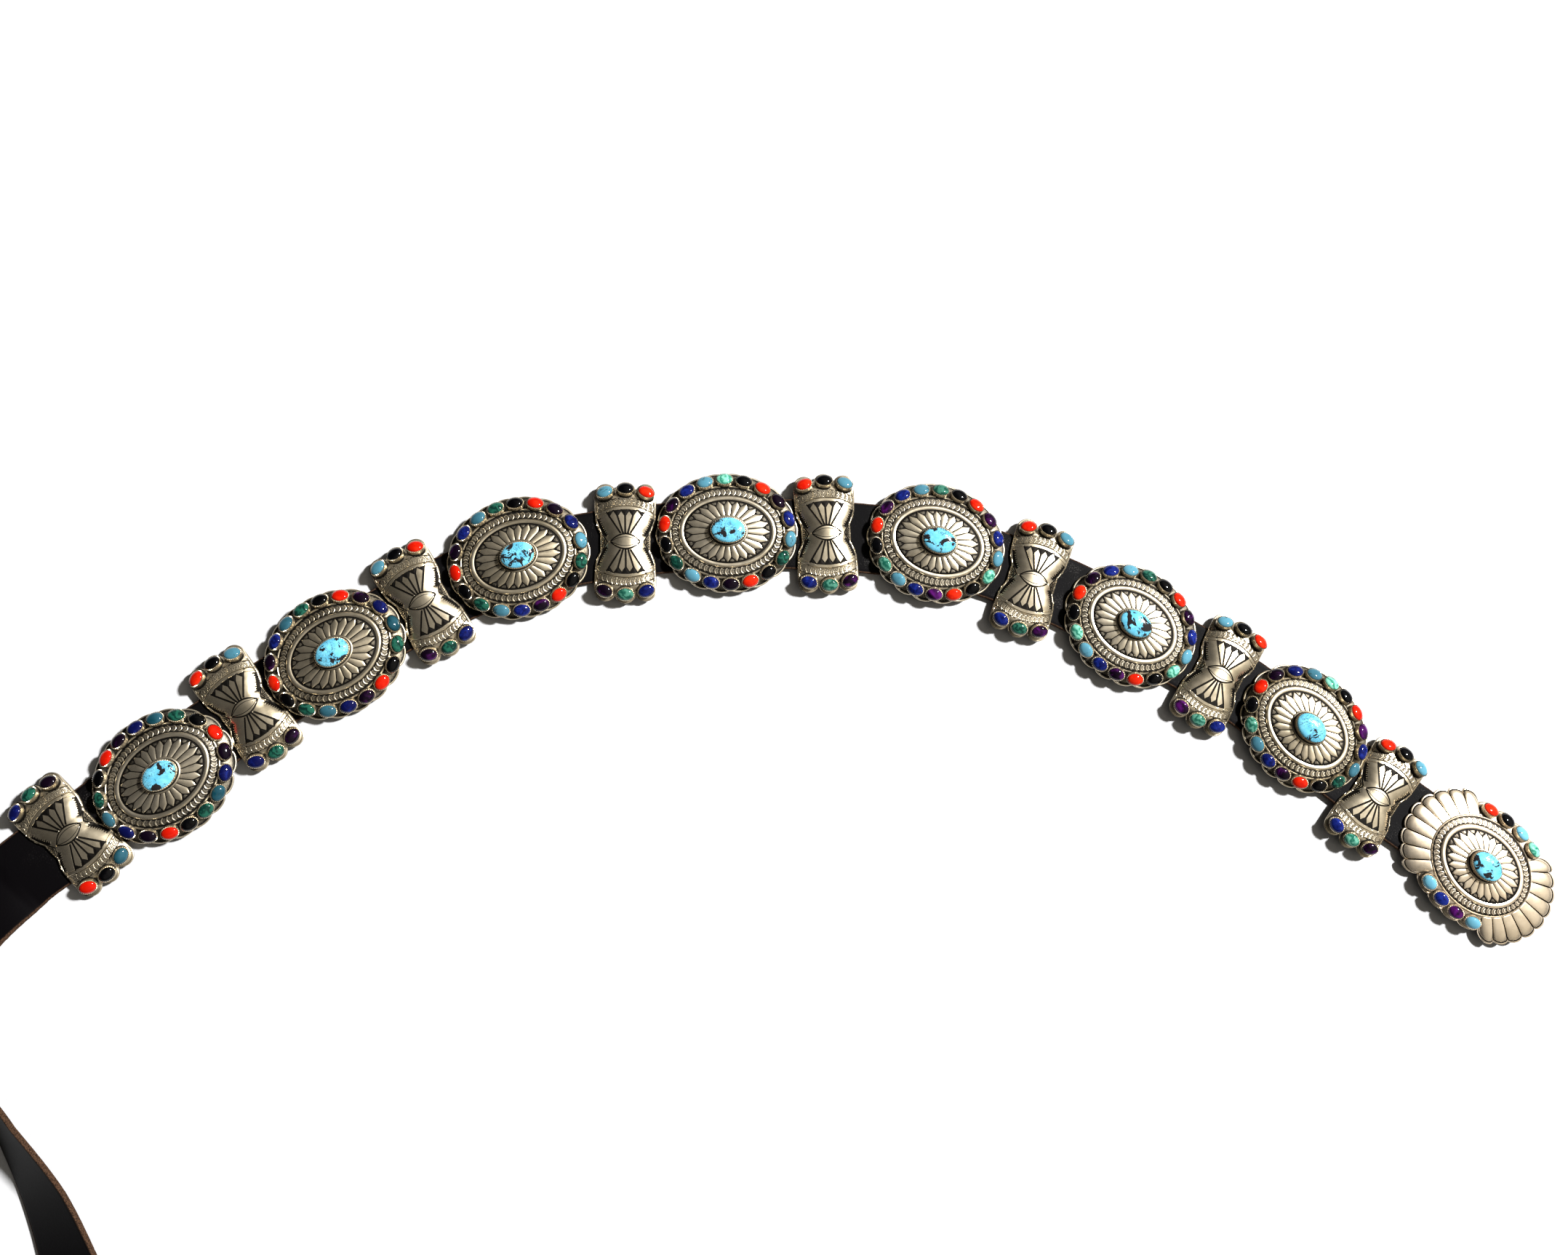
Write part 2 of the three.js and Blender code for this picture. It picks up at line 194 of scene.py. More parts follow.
class Shade:
    """A value or colour inside a material, as a node's socket that can be reckoned with."""

    def __init__(self, tree, socket):
        self.tree, self.socket = tree, socket

    def node(self, kind, settings=None, output=0, **inputs):
        """Any other node: its settings first, and then its sockets, by name or as _0, _1 and so on."""
        made = self.tree.nodes.new("ShaderNode" + kind)
        for name, value in (settings or {}).items():
            setattr(made, name, value)
        for name, value in inputs.items():
            socket = made.inputs[int(name[1:]) if name[0] == "_" else name.replace("_", " ")]
            if isinstance(value, Shade):
                self.tree.links.new(value.socket, socket)
            else:
                socket.default_value = value
        return Shade(self.tree, made.outputs[output])

    def sum(self, operation, *values, clamp=False):
        settings = {"operation": operation, "use_clamp": clamp}
        return self.node("Math", settings, **{f"_{i}": value for i, value in enumerate(values)})

    def __add__(self, other):
        return self.sum("ADD", self, other)

    __radd__ = __add__

    def __sub__(self, other):
        return self.sum("SUBTRACT", self, other)

    def __rsub__(self, other):
        return self.sum("SUBTRACT", other, self)

    def __mul__(self, other):
        return self.sum("MULTIPLY", self, other)

    __rmul__ = __mul__

    def between(self, low, high):
        """0 below low, 1 above high, and smooth in between."""
        return self.node(
            "MapRange", {"interpolation_type": "SMOOTHSTEP"},
            Value=self, From_Min=low, From_Max=high,
        )

    def held(self):
        return self.sum("ADD", self, 0.0, clamp=True)

    def mixed(self, first, second):
        """The second colour where this value is 1, and the first where it is 0."""
        mix = self.tree.nodes.new("ShaderNodeMix")
        mix.data_type = "RGBA"
        self.tree.links.new(self.socket, mix.inputs["Factor"])
        for socket, value in ((mix.inputs[6], first), (mix.inputs[7], second)):
            if isinstance(value, Shade):
                self.tree.links.new(value.socket, socket)
            else:
                socket.default_value = (*value, 1)
        return Shade(self.tree, mix.outputs[2])


def finish_of(name, **constants):
    """A new material: its Principled shader, and the socket that its patterns start from."""
    material = bpy.data.materials.new(name)
    material.use_nodes = True
    shader = material.node_tree.nodes["Principled BSDF"]
    for socket, value in constants.items():
        shader.inputs[socket.replace("_", " ")].default_value = value
    place = material.node_tree.nodes.new("ShaderNodeTexCoord").outputs["Object"]
    return material, shader, Shade(material.node_tree, place)


def dress(shader, **shades):
    for socket, shade in shades.items():
        shade.tree.links.new(shade.socket, shader.inputs[socket.replace("_", " ")])


def mark_of(place, name):
    """The mark of a piece's points, from 0 up."""
    return place.node("Attribute", {"attribute_name": name}, 2)


def noise(place, scale, detail=2.0, roughness=0.5, distortion=0.0):
    return place.node(
        "TexNoise", Vector=place, Scale=scale, Detail=detail, Roughness=roughness, Distortion=distortion
    )


def bumped(place, height, strength, distance):
    return place.node("Bump", Height=height, Strength=strength, Distance=distance)


def leather():
    material, shader, place = finish_of("black leather", Specular_IOR_Level=0.03)
    mark = mark_of(place, "cut")
    raw = mark.between(1.9, 2.6)
    tail = mark.held()
    speckle = noise(place, 1400, 3, 0.7)
    patches = noise(place, 90, 2)
    rubbed = (speckle * 0.8 + patches * 0.4).between(0.68, 0.84) * (1 - tail) * (1 - raw)
    grain = rubbed.mixed((0.002, 0.0018, 0.002), (0.050, 0.047, 0.044))
    smooth = tail.mixed(grain, (0.0015, 0.0012, 0.0015))
    fibre = noise(place, 1600, 2).between(0.3, 0.7)
    edge = fibre.mixed((0.012, 0.007, 0.005), (0.060, 0.032, 0.018))
    colour = raw.mixed(smooth, edge)
    rough = 0.48 + 0.2 * rubbed + 0.45 * raw
    pores = noise(place, 700, 4, 0.65) * (0.4 + raw)
    dress(shader, Base_Color=colour, Roughness=rough, Normal=bumped(place, pores, 0.35, 0.0004))
    return material


strap = leather_work.piece("leather_strap", leather(), "cut")
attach(strap, "root")
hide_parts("strap")


# The conchos. Seven domed ovals of sheet silver, 80 mm by 69 mm. The silversmith stamps a field of
# petals, a smooth ring and a band of crescents, and solders on a serrated bezel for each stone, a
# centre bezel, and a loop behind that the strap runs through. The recesses are left black.
CONCHO_TURNS = (40, 34, 18.5, 0, -15.5, -31, -44)  # degrees, from the strap's tail to the buckle
STONE_TURNS = (-9, 3.5, 7, 3.5, 10.5, 10.5, 12.5)  # of each concho's ring of stones
PALENESS = (0.10, 0.15, 0.35, 0.50, 0.60, 0.52, 0.45)  # of its stones, from 0 to 1
DULL_CONCHOS = (2, 3, 7)
PETALS = 24
CRESCENTS = 54
CRESCENT_BEND = 0.42  # how far its ends reach past its middle, in steps from one to the next
STONES_ROUND = 18
FIELD_INNER, FIELD_OUTER = (11.4, 8.9), (24.3, 17.6)  # half length and half width of the petals' ring
BAND_INNER, BAND_WIDE = (27.95, 20.8), (3.4, 3.9)  # the band's inner edge, and its width each way
BAND_EDGE = (31.0, 24.8, 10.2)  # half length, half width and height where the flange starts
BAND_EVEN = 0.045  # makes turns step evenly along the band's edge
LINE_FOOT = 1.95  # from the band's edge to the outer foot of the raised line
LOBE_LOW, LOBE_RISE = 8.2, 2.2  # reach of the flange between two lobes, and what a lobe adds
LOBE_POINTS = 14
LOBES_START = 5.5 * math.pi / 9  # from the top of the ring back to the first lobe's tip
EDGE_LINE = 0.95  # width of the bright line along the flange's edge
SLOPE = math.radians(25)  # of the flange, and of the stones that stand on it
SHEET = 1.1  # thickness of the silver
BACK_RINGS = ((31, 24.8, 9.1), (24.4, 17.6, 10.4), (12, 9, 11.6))  # of the underside
STONE_DOWN = 4.6  # from the band's edge down the flange to a stone's middle
SMALL_BEZEL, MAIN_BEZEL = (5.05, 3.95, 3.4, 26), (10.0, 7.5, 4.0, 44)  # half sizes, wall and teeth
SMALL_STONE = (4.6, 3.5, 1.6, 3.05, 1.95)  # half length, half width; foot, girdle and rise of its dome


def held(value):
    return np.clip(value, 0, 1)


def carried(points, matrix):
    matrix = np.array(matrix)
    return np.asarray(points, float) @ matrix[:3, :3].T + matrix[:3, 3]


def lifted(x, y, height):
    """Flat coordinates and a height, as points."""
    return np.stack([x, y, np.broadcast_to(height, x.shape)], -1)


def on_oval(a, b, turn, height, even=0.07):
    """Points of an oval at turns from 0 to 2 pi that step nearly evenly along its edge."""
    angle = turn + even * np.sin(2 * turn)
    return lifted(a * np.cos(angle), b * np.sin(angle), height)


def off_band(turn, out, height):
    """Points at a distance outside the oval of the band's edge, square to it."""
    a, b, _ = BAND_EDGE
    angle = turn + BAND_EVEN * np.sin(2 * turn)
    square = np.hypot(np.cos(angle) / a, np.sin(angle) / b)
    x = a * np.cos(angle) + out * np.cos(angle) / a / square
    y = b * np.sin(angle) + out * np.sin(angle) / b / square
    return lifted(x, y, height)


def zip_rows(work, inner, inner_turns, outer, outer_turns):
    """Triangles between two closed rows with different numbers of points."""
    i = j = 0
    while i < len(inner) or j < len(outer):
        next_inner = inner_turns[(i + 1) % len(inner)] + 2 * math.pi * ((i + 1) // len(inner))
        next_outer = outer_turns[(j + 1) % len(outer)] + 2 * math.pi * ((j + 1) // len(outer))
        here = [int(inner[i % len(inner)]), int(outer[j % len(outer)])]
        if j >= len(outer) or (i < len(inner) and next_inner <= next_outer):
            i += 1
            work.faces.append([*here, int(inner[i % len(inner)])])
        else:
            j += 1
            work.faces.append([*here, int(outer[j % len(outer)])])


def petal_field(work):
    """Lozenge petals from the collar to the ring, with grooves between them and small three-sided
    stamps between their tips. v runs outward, from 0 to 1. Gives the outermost row and its turns."""
    v = np.array([0, 0.05, 0.13, 0.23, 0.34, 0.45, 0.56, 0.65, 0.71, 0.77, 0.83, 0.89, 0.94, 0.98, 1])
    half_pitch = 1.34 + 1.44 * v
    groove = 0.30 / half_pitch
    shoulder, tip, end, depth = 0.66, 0.975, 0.985, 0.42
    taper = np.clip((tip - v) / (tip - shoulder), 0.03, 1)
    edge = (1 - groove) * taper
    lip = np.minimum(edge + 0.24 / half_pitch, 1 - groove / 3)
    fill = (1 + lip) / 2
    zero, one = np.zeros_like(v), np.ones_like(v)
    half = [zero, edge / 3, edge * 2 / 3, edge, lip, fill, one]
    columns = [-one, -fill, -lip, -edge, -edge * 2 / 3, -edge / 3] + half[:-1]
    w = np.stack(columns, -1)
    stamp = held((v - 0.74) / 0.05) * held((end - v) / 0.03)
    rise = held((end - v) / 0.05)
    lips = (-depth * one, one * 0.97)
    crown = [(0.24, 0.0), (0.23, 0.0), (0.18, 0.0), (0.08, 0.12)]  # height and blackness, outward
    petal = [(rise * (z + depth) - depth, 1 - rise * (1 - m)) for z, m in crown]
    floor = (lips[0] + 0.16 * stamp, lips[1] - 0.42 * stamp)
    order = [floor, floor, lips, *petal[::-1], *petal[1:], lips, floor]
    relief = np.stack([z for z, _ in order], -1)
    marks = np.stack([m for _, m in order], -1)
    pitch = 2 * math.pi / PETALS
    turns = (np.arange(PETALS)[:, None, None] + w / 2) * pitch
    turns = turns.transpose(1, 0, 2).reshape(len(v), -1)
    a, b = ((low + (high - low) * v)[:, None] for low, high in zip(FIELD_INNER, FIELD_OUTER))
    height = 11.75 + 1.9 * (1 - (a / FIELD_OUTER[0]) ** 2) + np.tile(relief, (1, PETALS))
    ids = work.add(on_oval(a, b, turns, height), np.tile(marks, (1, PETALS)))
    work.quads(ids)
    work.cap(ids[0])
    return ids[-1], turns[-1]


def smooth_ring(work, inner, turns):
    """The plain convex ring round the field, with a black groove on each side of it."""
    profile = [  # half length, half width, height, how black
        (24.62, 17.92, 11.3, 1), (24.9, 18.16, 11.75, 0.1), (25.6, 18.8, 11.92, 0),
        (26.3, 19.4, 11.9, 0), (27.0, 20.0, 11.75, 0), (27.4, 20.34, 11.45, 0.1),
        (27.65, 20.55, 10.85, 0.9),
    ]
    rows = [work.add(on_oval(a, b, turns, z), mark) for a, b, z, mark in profile]
    work.quads(np.stack([inner, *rows]))
    return rows[-1]


def crescent_band(work, inner, inner_turns):
    """The stamped band: crescents that all open the same way round, each with five short rays.
    q runs across the band, from -1 to 1, and p along one crescent, from 0 to 1."""
    q = np.array([-1, -0.86, -0.7, -0.56, -0.42, -0.28, -0.14, 0, 0.14, 0.28, 0.42, 0.56, 0.7, 0.86, 1])
    rays = np.array([0, 0, 0, 1, 0, 1, 0, 1, 0, 1, 0, 1, 0, 0, 0])
    p = np.array([0, 0.07, 0.17, 0.29, 0.37, 0.46, 0.62, 0.78, 0.93])
    ridge = np.array([0, 0.7, 1, 0.85, 0.05, 0, 0, 0, 0])
    ray = np.array([0, 0, 0, 0, 0.15, 0.7, 0.8, 0.7, 0.2])
    ends = np.sqrt(held(1 - q**2))[:, None]
    relief = ends * ridge + 0.75 * rays[:, None] * ray
    marks = 0.14 + 0.5 * held(1 - 1.05 * relief)
    pitch = 2 * math.pi / CRESCENTS
    bend = CRESCENT_BEND * q[:, None] ** 2
    turns = (np.arange(CRESCENTS)[:, None, None] + p + bend) * pitch + inner_turns[0]
    turns = turns.transpose(1, 0, 2).reshape(len(q), -1)
    share = ((q + 1) / 2)[:, None]
    a, b = (start + wide * share for start, wide in zip(BAND_INNER, BAND_WIDE))
    height = 11.0 - 0.95 * share - 0.12 + 0.24 * np.tile(relief, (1, CRESCENTS))
    ids = work.add(on_oval(a, b, turns, height), np.tile(marks, (1, CRESCENTS)))
    zip_rows(work, inner, inner_turns, ids[0], turns[0])
    work.quads(ids)
    return ids[-1], turns[-1]


def raised_line(work, inner, inner_turns, turns):
    """The bright line outside the band, as rows over the given turns."""
    profile = [  # out from the band's edge, height, how black
        (0.58, 9.75, 0.8), (0.82, 10.12, 0.1), (1.12, 10.26, 0), (1.44, 10.16, 0), (1.75, 9.7, 0.5),
    ]
    rows = [work.add(off_band(turns, out, z), mark) for out, z, mark in profile]
    zip_rows(work, inner, inner_turns, rows[0], turns)
    work.quads(np.stack(rows))
    return rows[-1]


def flange(work, inner, inner_turns, stones_turn):
    """The skirt that the stones stand on: it slopes down from the band to a rim of as many lobes as
    stones, whose tips come between the stones, with a thin bright line along it."""
    w = np.linspace(-1, 1, LOBE_POINTS, endpoint=False)
    pitch = 2 * math.pi / STONES_ROUND
    first = math.radians(90 + stones_turn) - LOBES_START + math.pi / STONES_ROUND
    lobes = np.arange(STONES_ROUND)[:, None]
    turns = (first + (lobes + (w - 1) / 2) * pitch).ravel()
    reach = np.tile(LOBE_LOW + LOBE_RISE * np.sqrt(1 - w**2), STONES_ROUND) * math.cos(SLOPE)
    rows = [raised_line(work, inner, inner_turns, turns)]
    slope = [(0, 0.65), (0.2, 0.5), (0.4, 0.47), (0.6, 0.48), (0.8, 0.52)]  # share of the way, black
    line = [  # back from the edge, height, how black
        (EDGE_LINE, -0.08, 0.7), (0.62, 0.12, 0.3), (0.3, 0.18, 0.1), (0.04, 0.02, 0.2), (0, -0.4, 0.5),
    ]
    steps = [(LINE_FOOT + (reach - EDGE_LINE - LINE_FOOT) * share, 0, mark) for share, mark in slope]
    steps += [(reach - back, rise, mark) for back, rise, mark in line]
    drop = math.tan(SLOPE)
    for out, rise, mark in steps:
        rows.append(work.add(off_band(turns, out, BAND_EDGE[2] - drop * out + rise), mark))
    rows.append(work.add(off_band(turns, reach - 0.12, BAND_EDGE[2] - drop * reach - SHEET), 0.8))
    work.quads(np.stack(rows))
    return rows[-1], turns


def underside(work, rim, turns):
    """The plain back of the sheet, from the rim's lower edge to the middle."""
    coarse = np.linspace(0, 2 * math.pi, 36, endpoint=False) + turns[0]
    rows = [work.add(on_oval(a, b, coarse, z), 0.7) for a, b, z in BACK_RINGS]
    zip_rows(work, rim, turns, rows[0], coarse)
    work.quads(np.stack(rows))
    work.cap(rows[-1], flip=True)


def bezel(work, a, b, wall, teeth, matrix, sink, lean=0.38):
    """A strip of silver bent to an oval cup, its top edge cut to saw teeth that fold in over a stone."""
    turns = np.arange(2 * teeth) * math.pi / teeth
    tooth = np.where(np.arange(2 * teeth) % 2, 0.27, -0.27)
    profile = [  # out from the oval, height, share of the teeth, how black
        (0.14, -sink, 0, 0.8), (0.04, 0.25, 0, 0.7), (0, wall - 1.1, 0, 0.22),
        (-0.03, wall - 0.2, 1, 0), (-lean, wall - 0.05, 1, 0.05), (-lean - 0.05, wall - 0.9, 0, 0.8),
    ]
    rows = []
    for out, z, cut, mark in profile:
        points = on_oval(a + out, b + out, turns, z + cut * tooth)
        rows.append(work.add(carried(points, matrix), mark))
    work.solid(rows)


def cabochon(work, a, b, low, girdle, rise, matrix, tone, columns=24, rows=6):
    """A domed oval stone, with its flat back down in the bezel."""
    turns = np.linspace(0, 2 * math.pi, columns, endpoint=False)
    bend = np.radians(np.linspace(0, 80, rows))
    rings = [(0.97, low), *zip(np.cos(bend) ** 0.85, girdle + rise * np.sin(bend))]
    work.solid([work.add(carried(on_oval(a * r, b * r, turns, z, 0), matrix), tone) for r, z in rings])


def square_to(path):
    """A step of 1 to the left of a path, at each of its points."""
    along = np.gradient(path, axis=0)
    along /= np.linalg.norm(along, axis=1)[:, None]
    return np.stack([-along[:, 1], along[:, 0]], -1)


def strip(work, path, width, thick, matrix):
    """A flat strip bent along a path of (x, z) points in the plane across it, with eased edges."""
    path = np.array(path, float)
    square = square_to(path)
    half, deep, ease = width / 2, thick / 2, 0.2
    section = [
        (half, deep - ease), (half - ease, deep), (ease - half, deep), (-half, deep - ease),
        (-half, ease - deep), (ease - half, -deep), (half - ease, -deep), (half, ease - deep),
    ]
    rows = []
    for side, up in section:
        at = path + square * up
        points = np.stack([np.full(len(path), side), at[:, 0], at[:, 1]], -1)
        rows.append(carried(points, matrix))
    ids = work.add(np.stack(rows, 1), 0.55)
    work.quads(ids[::-1])
    work.cap(ids[0])
    work.cap(ids[-1], flip=True)


QUARTER = np.radians((0, 30, 60, 90))  # steps round a bend of a strip


def back_loop(work, middle, leg_top):
    """The soldered loop: flat under the strap, with a leg up to the silver at each side of it."""
    reach, width, thick = 24.75, 7, 1.2
    bend = [(reach - 1 + math.sin(a), 1.5 - math.cos(a)) for a in QUARTER]
    half = [(0, 0.5), *bend, (reach, leg_top)]
    path = [(-y, z) for y, z in reversed(half[1:])] + half
    strip(work, path, width, thick, Matrix.Translation((middle, 0, 0.1)))


def centre_bezel(work):
    """The collar and bezel of the main stone."""
    turns = np.linspace(0, 2 * math.pi, 72, endpoint=False)
    profile = [  # half length, half width, height, how black
        (11.7, 9.2, 12.6, 0.8), (11.5, 9.0, 13.5, 0.5), (11.0, 8.5, 14.0, 0.3), (10.3, 7.8, 14.1, 0.7),
    ]
    rows = [work.add(on_oval(a, b, turns, z, 0), mark) for a, b, z, mark in profile]
    work.solid(rows)
    bezel(work, *MAIN_BEZEL, Matrix.Translation((0, 0, 13.6)), 0.5, 0.7)


def stone_places(stones_turn):
    """Where a concho's stones stand and how each one leans, counter-clockwise from the top."""
    a, b, z = BAND_EDGE
    corners = []
    for i in range(STONES_ROUND + 1):
        turn = math.radians(90 + stones_turn + 360 / STONES_ROUND * (i - 0.5))
        angle = turn + BAND_EVEN * math.sin(2 * turn)
        corners.append(Vector((a * math.cos(angle), b * math.sin(angle), z)))
    places = []
    for here, after in zip(corners, corners[1:]):
        out = Vector((after.y - here.y, here.x - after.x, 0)).normalized()
        down = out * math.cos(SLOPE) - Vector((0, 0, math.sin(SLOPE)))
        foot = (here + after) / 2 + down * STONE_DOWN
        lean = math.atan2(out.y, out.x) - math.pi / 2
        places.append(
            Matrix.Translation(foot) @ Matrix.Rotation(lean, 4, "Z") @ Matrix.Rotation(-SLOPE, 4, "X")
        )
    return places


def standing(node, turn):
    """The matrix that puts a piece made round its own middle in its place, in millimetres."""
    at = middle_of(node)
    return Matrix.Translation((at.x, at.y, 0)) @ Matrix.Rotation(math.radians(turn), 4, "Z")


def silver(name, polished, dull):
    """Sterling with a soft polish: bright where hands have rubbed it, dull in clouds, and black with
    oxide in the stamped lines. The colours passed in are darker than bare silver's: painted shade for
    the dim room that the silver mirrors."""
    material, shader, place = finish_of(name, Metallic=0.95)
    oxide = mark_of(place, "oxide")
    grain = noise(place, 1500, 3, 0.6)
    clouds = noise(place, 55, 3, 0.55)
    black = (oxide * 1.12 + (grain - 0.5) * 0.35 + (clouds - 0.5) * 0.25).between(0.10, 0.76)
    tarnish = clouds.between(0.35, 0.75)
    colour = black.mixed(tarnish.mixed(polished, dull), (0.007, 0.006, 0.005))
    rough = 0.22 + 0.12 * noise(place, 240, 3) + 0.3 * black
    scratches = noise(place.node("Mapping", Vector=place, Scale=(1, 6, 1)), 500, 4, 0.7)
    dents = noise(place, 130, 2)
    relief = scratches * 0.3 + dents + 0.2 * grain
    dress(shader, Base_Color=colour, Roughness=rough, Normal=bumped(place, relief, 0.14, 0.0003))
    return material


STONE_KINDS = {  # by the letters that the tables of stones use
    "T": "turquoise", "M": "malachite", "B": "lapis", "P": "amethyst", "R": "coral", "K": "onyx",
}
RING = "MTBPRK" * 3
FIRST_RING = "BPRKMT" * 3
rim_stones = {kind: Work() for kind in STONE_KINDS.values()}
tones = np.random.default_rng(11)


def set_stone(work, place, seat, letter, pale, sink=0.7):
    """A bezel at a seat on its piece, and the stone in it. pale, from 0 to 1, is how light the
    piece's stones are."""
    bezel(work, *SMALL_BEZEL, seat, sink)
    stones = rim_stones[STONE_KINDS[letter]]
    cabochon(stones, *SMALL_STONE, place @ seat, pale + tones.uniform(-0.18, 0.18))


def stamped_middle(work):
    """The petals, the ring and the band, which the conchos and the buckle share."""
    edge, turns = petal_field(work)
    edge = smooth_ring(work, edge, turns)
    return crescent_band(work, edge, turns)


# These colours are darker than bare silver's: painted shade, standing in for the dim room that the
# silver mirrors.
concho_finish = silver("oxidised silver", (0.69, 0.605, 0.46), (0.51, 0.44, 0.32))
dull_finish = silver("duller silver", (0.64, 0.55, 0.40), (0.46, 0.39, 0.27))
for number, (turn, stones_turn) in enumerate(zip(CONCHO_TURNS, STONE_TURNS), 1):
    work = Work()
    underside(work, *flange(work, *stamped_middle(work), stones_turn))
    centre_bezel(work)
    back_loop(work, 0, BAND_EDGE[2] - 0.8)
    place = standing(f"turquoise_{number}", turn)
    for letter, seat in zip(FIRST_RING if number == 1 else RING, stone_places(stones_turn)):
        set_stone(work, place, seat, letter, PALENESS[number - 1])
    finish = dull_finish if number in DULL_CONCHOS else concho_finish
    made = work.piece(f"silver_concho_{number}", finish, "oxide", place)
    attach(made, "root")
    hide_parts(f"concho_{number}")


# The spacers. Eight hourglass plates of sheet silver, 69 mm by 35 mm, domed up along the middle.
# Each is stamped with two fans, an almond between them, a band of crescents near each end and a
# fan on each side tab. Three stones stand on the shelf at each end, and a loop is soldered behind.
SPACER_TURNS = (45, 36.5, 31, 0.5, 3, -17.5, -28.8, -35)
SPACER_STONES = (  # left, middle and right at the far end, and then at the near end
    ("BMP", "RKT"), ("RKT", "BMP"), ("TKR", "PMB"), ("TKR", "PMB"),
    ("RKT", "BMP"), ("RKT", "BMP"), ("TKR", "PMB"), ("RKT", "BMP"),
)
SPACER_SEATS = ((-11.2, 26.8, 22), (0, 28.7, 0), (11.2, 26.8, -22))  # x, y and turn
SEAT_HEIGHT = 8.1
RIM_TOP = 5.8
SPACER_CROWN = 11.2
WAIST = ((0, 14.1), (3.9, 14.1), (4.6, 13.9), (8.5, 15.7), (12.5, 16.9), (20, 17.3), (28, 17.3))
SIDE_LOBE, MIDDLE_LOBE = (11.2, 27.2, 6.1), (0, 28.6, 5.9)  # x, y and radius
SPACER_LOBES = ((-11.2, 27.2, 6.1), MIDDLE_LOBE, SIDE_LOBE)
LOBES_MEET = (5.62, 30.4)
SHELF_STARTS = 26.35
SAG = 0.0165  # of the lines across an end: how far they drop, for each square millimetre aside
INNER_GROOVE, RIDGE, OUTER_GROOVE = (17.95, 18.45), (18.45, 20.0), (19.95, 20.75)  # lines across
RIM_GROOVE, RIM_RIDGE = (24.9, 25.22), (25.22, 26.08)  # the lines between the band and the shelf
BAND_MIDDLE, BAND_HALF, CRESCENT_STEP = 22.9, 2.0, 2.6
ALMOND, LENS = (8.6, 4.25), (8.1, 2.5)  # the raised eye and the boss in it: half length, half width
TIPS_AT = 17.9  # how far out a fan's petals reach
DIVIDERS = (  # of a fan, from the almond to the lines' forks: x at the foot, x and y at the fork
    (-2.9, -9.2, 14.4), (-1.5, -4.6, 14.6), (-0.1, -0.2, 14.6), (1.4, 4.2, 14.8), (3.0, 9.2, 14.5),
)
FAN_FOOT, FORK = 4.9, 2.3  # where a divider starts, and how far to each side its fork reaches
SWEEP = ((15.3, 12.6), (14.5, 9.9), (13.0, 6.8), (11.0, 3.6))  # the toothed line along a side
TOOTH, TOOTH_STEP = (-1.0, 0.4), 1.15  # each tooth from that line, and how far apart they are
TAB_FROM, TAB_TO = (10.2, 0), (12.9, 4.6)  # one side of the V that bounds a side tab
TAB_LINES = (-3.2, -1.6, 0, 1.6, 3.2)  # how high on the tab's edge they end
WIDTHS = {  # half widths of the grooves
    "divider": 0.58, "fork": 0.48, "sweep": 0.85, "tooth": 0.34, "tab": 0.42, "tab line": 0.26,
}


def line_near(x, y, path, half_width):
    """1 along a path, in a flat strip of 0.6 of the half width, and down to 0 at the half width."""
    best = np.full(x.shape, np.inf)
    for (x0, y0), (x1, y1) in zip(path, path[1:]):
        long = (x1 - x0) ** 2 + (y1 - y0) ** 2
        along = held(((x - x0) * (x1 - x0) + (y - y0) * (y1 - y0)) / long)
        best = np.minimum(best, np.hypot(x - x0 - along * (x1 - x0), y - y0 - along * (y1 - y0)))
    return held((1 - best / half_width) / 0.4)


def hump(value, low, high):
    """A round ridge between two values, 1 high in its middle."""
    return np.sqrt(held(1 - (2 * (value - low) / (high - low) - 1) ** 2))


def along_path(path, step):
    """Points at even steps through the corners of a path, its ends and corners included."""
    points = [path[0]]
    for (x0, y0), (x1, y1) in zip(path, path[1:]):
        count = max(1, round(math.hypot(x1 - x0, y1 - y0) / step))
        points += [(x0 + (x1 - x0) * i / count, y0 + (y1 - y0) * i / count) for i in range(1, count + 1)]
    return np.array(points)


def inside(points, outline):
    """Which points lie inside a closed outline, by the edges that a line from each one crosses."""
    x, y = np.asarray(points).T
    crossings = np.zeros(len(x), int)
    for (x0, y0), (x1, y1) in zip(outline, outline[1:] + outline[:1]):
        level = (y0 > y) != (y1 > y)
        crossings += level & (x > x0 + (y - y0) * (x1 - x0) / (y1 - y0 if y1 != y0 else 1))
    return crossings % 2 == 1


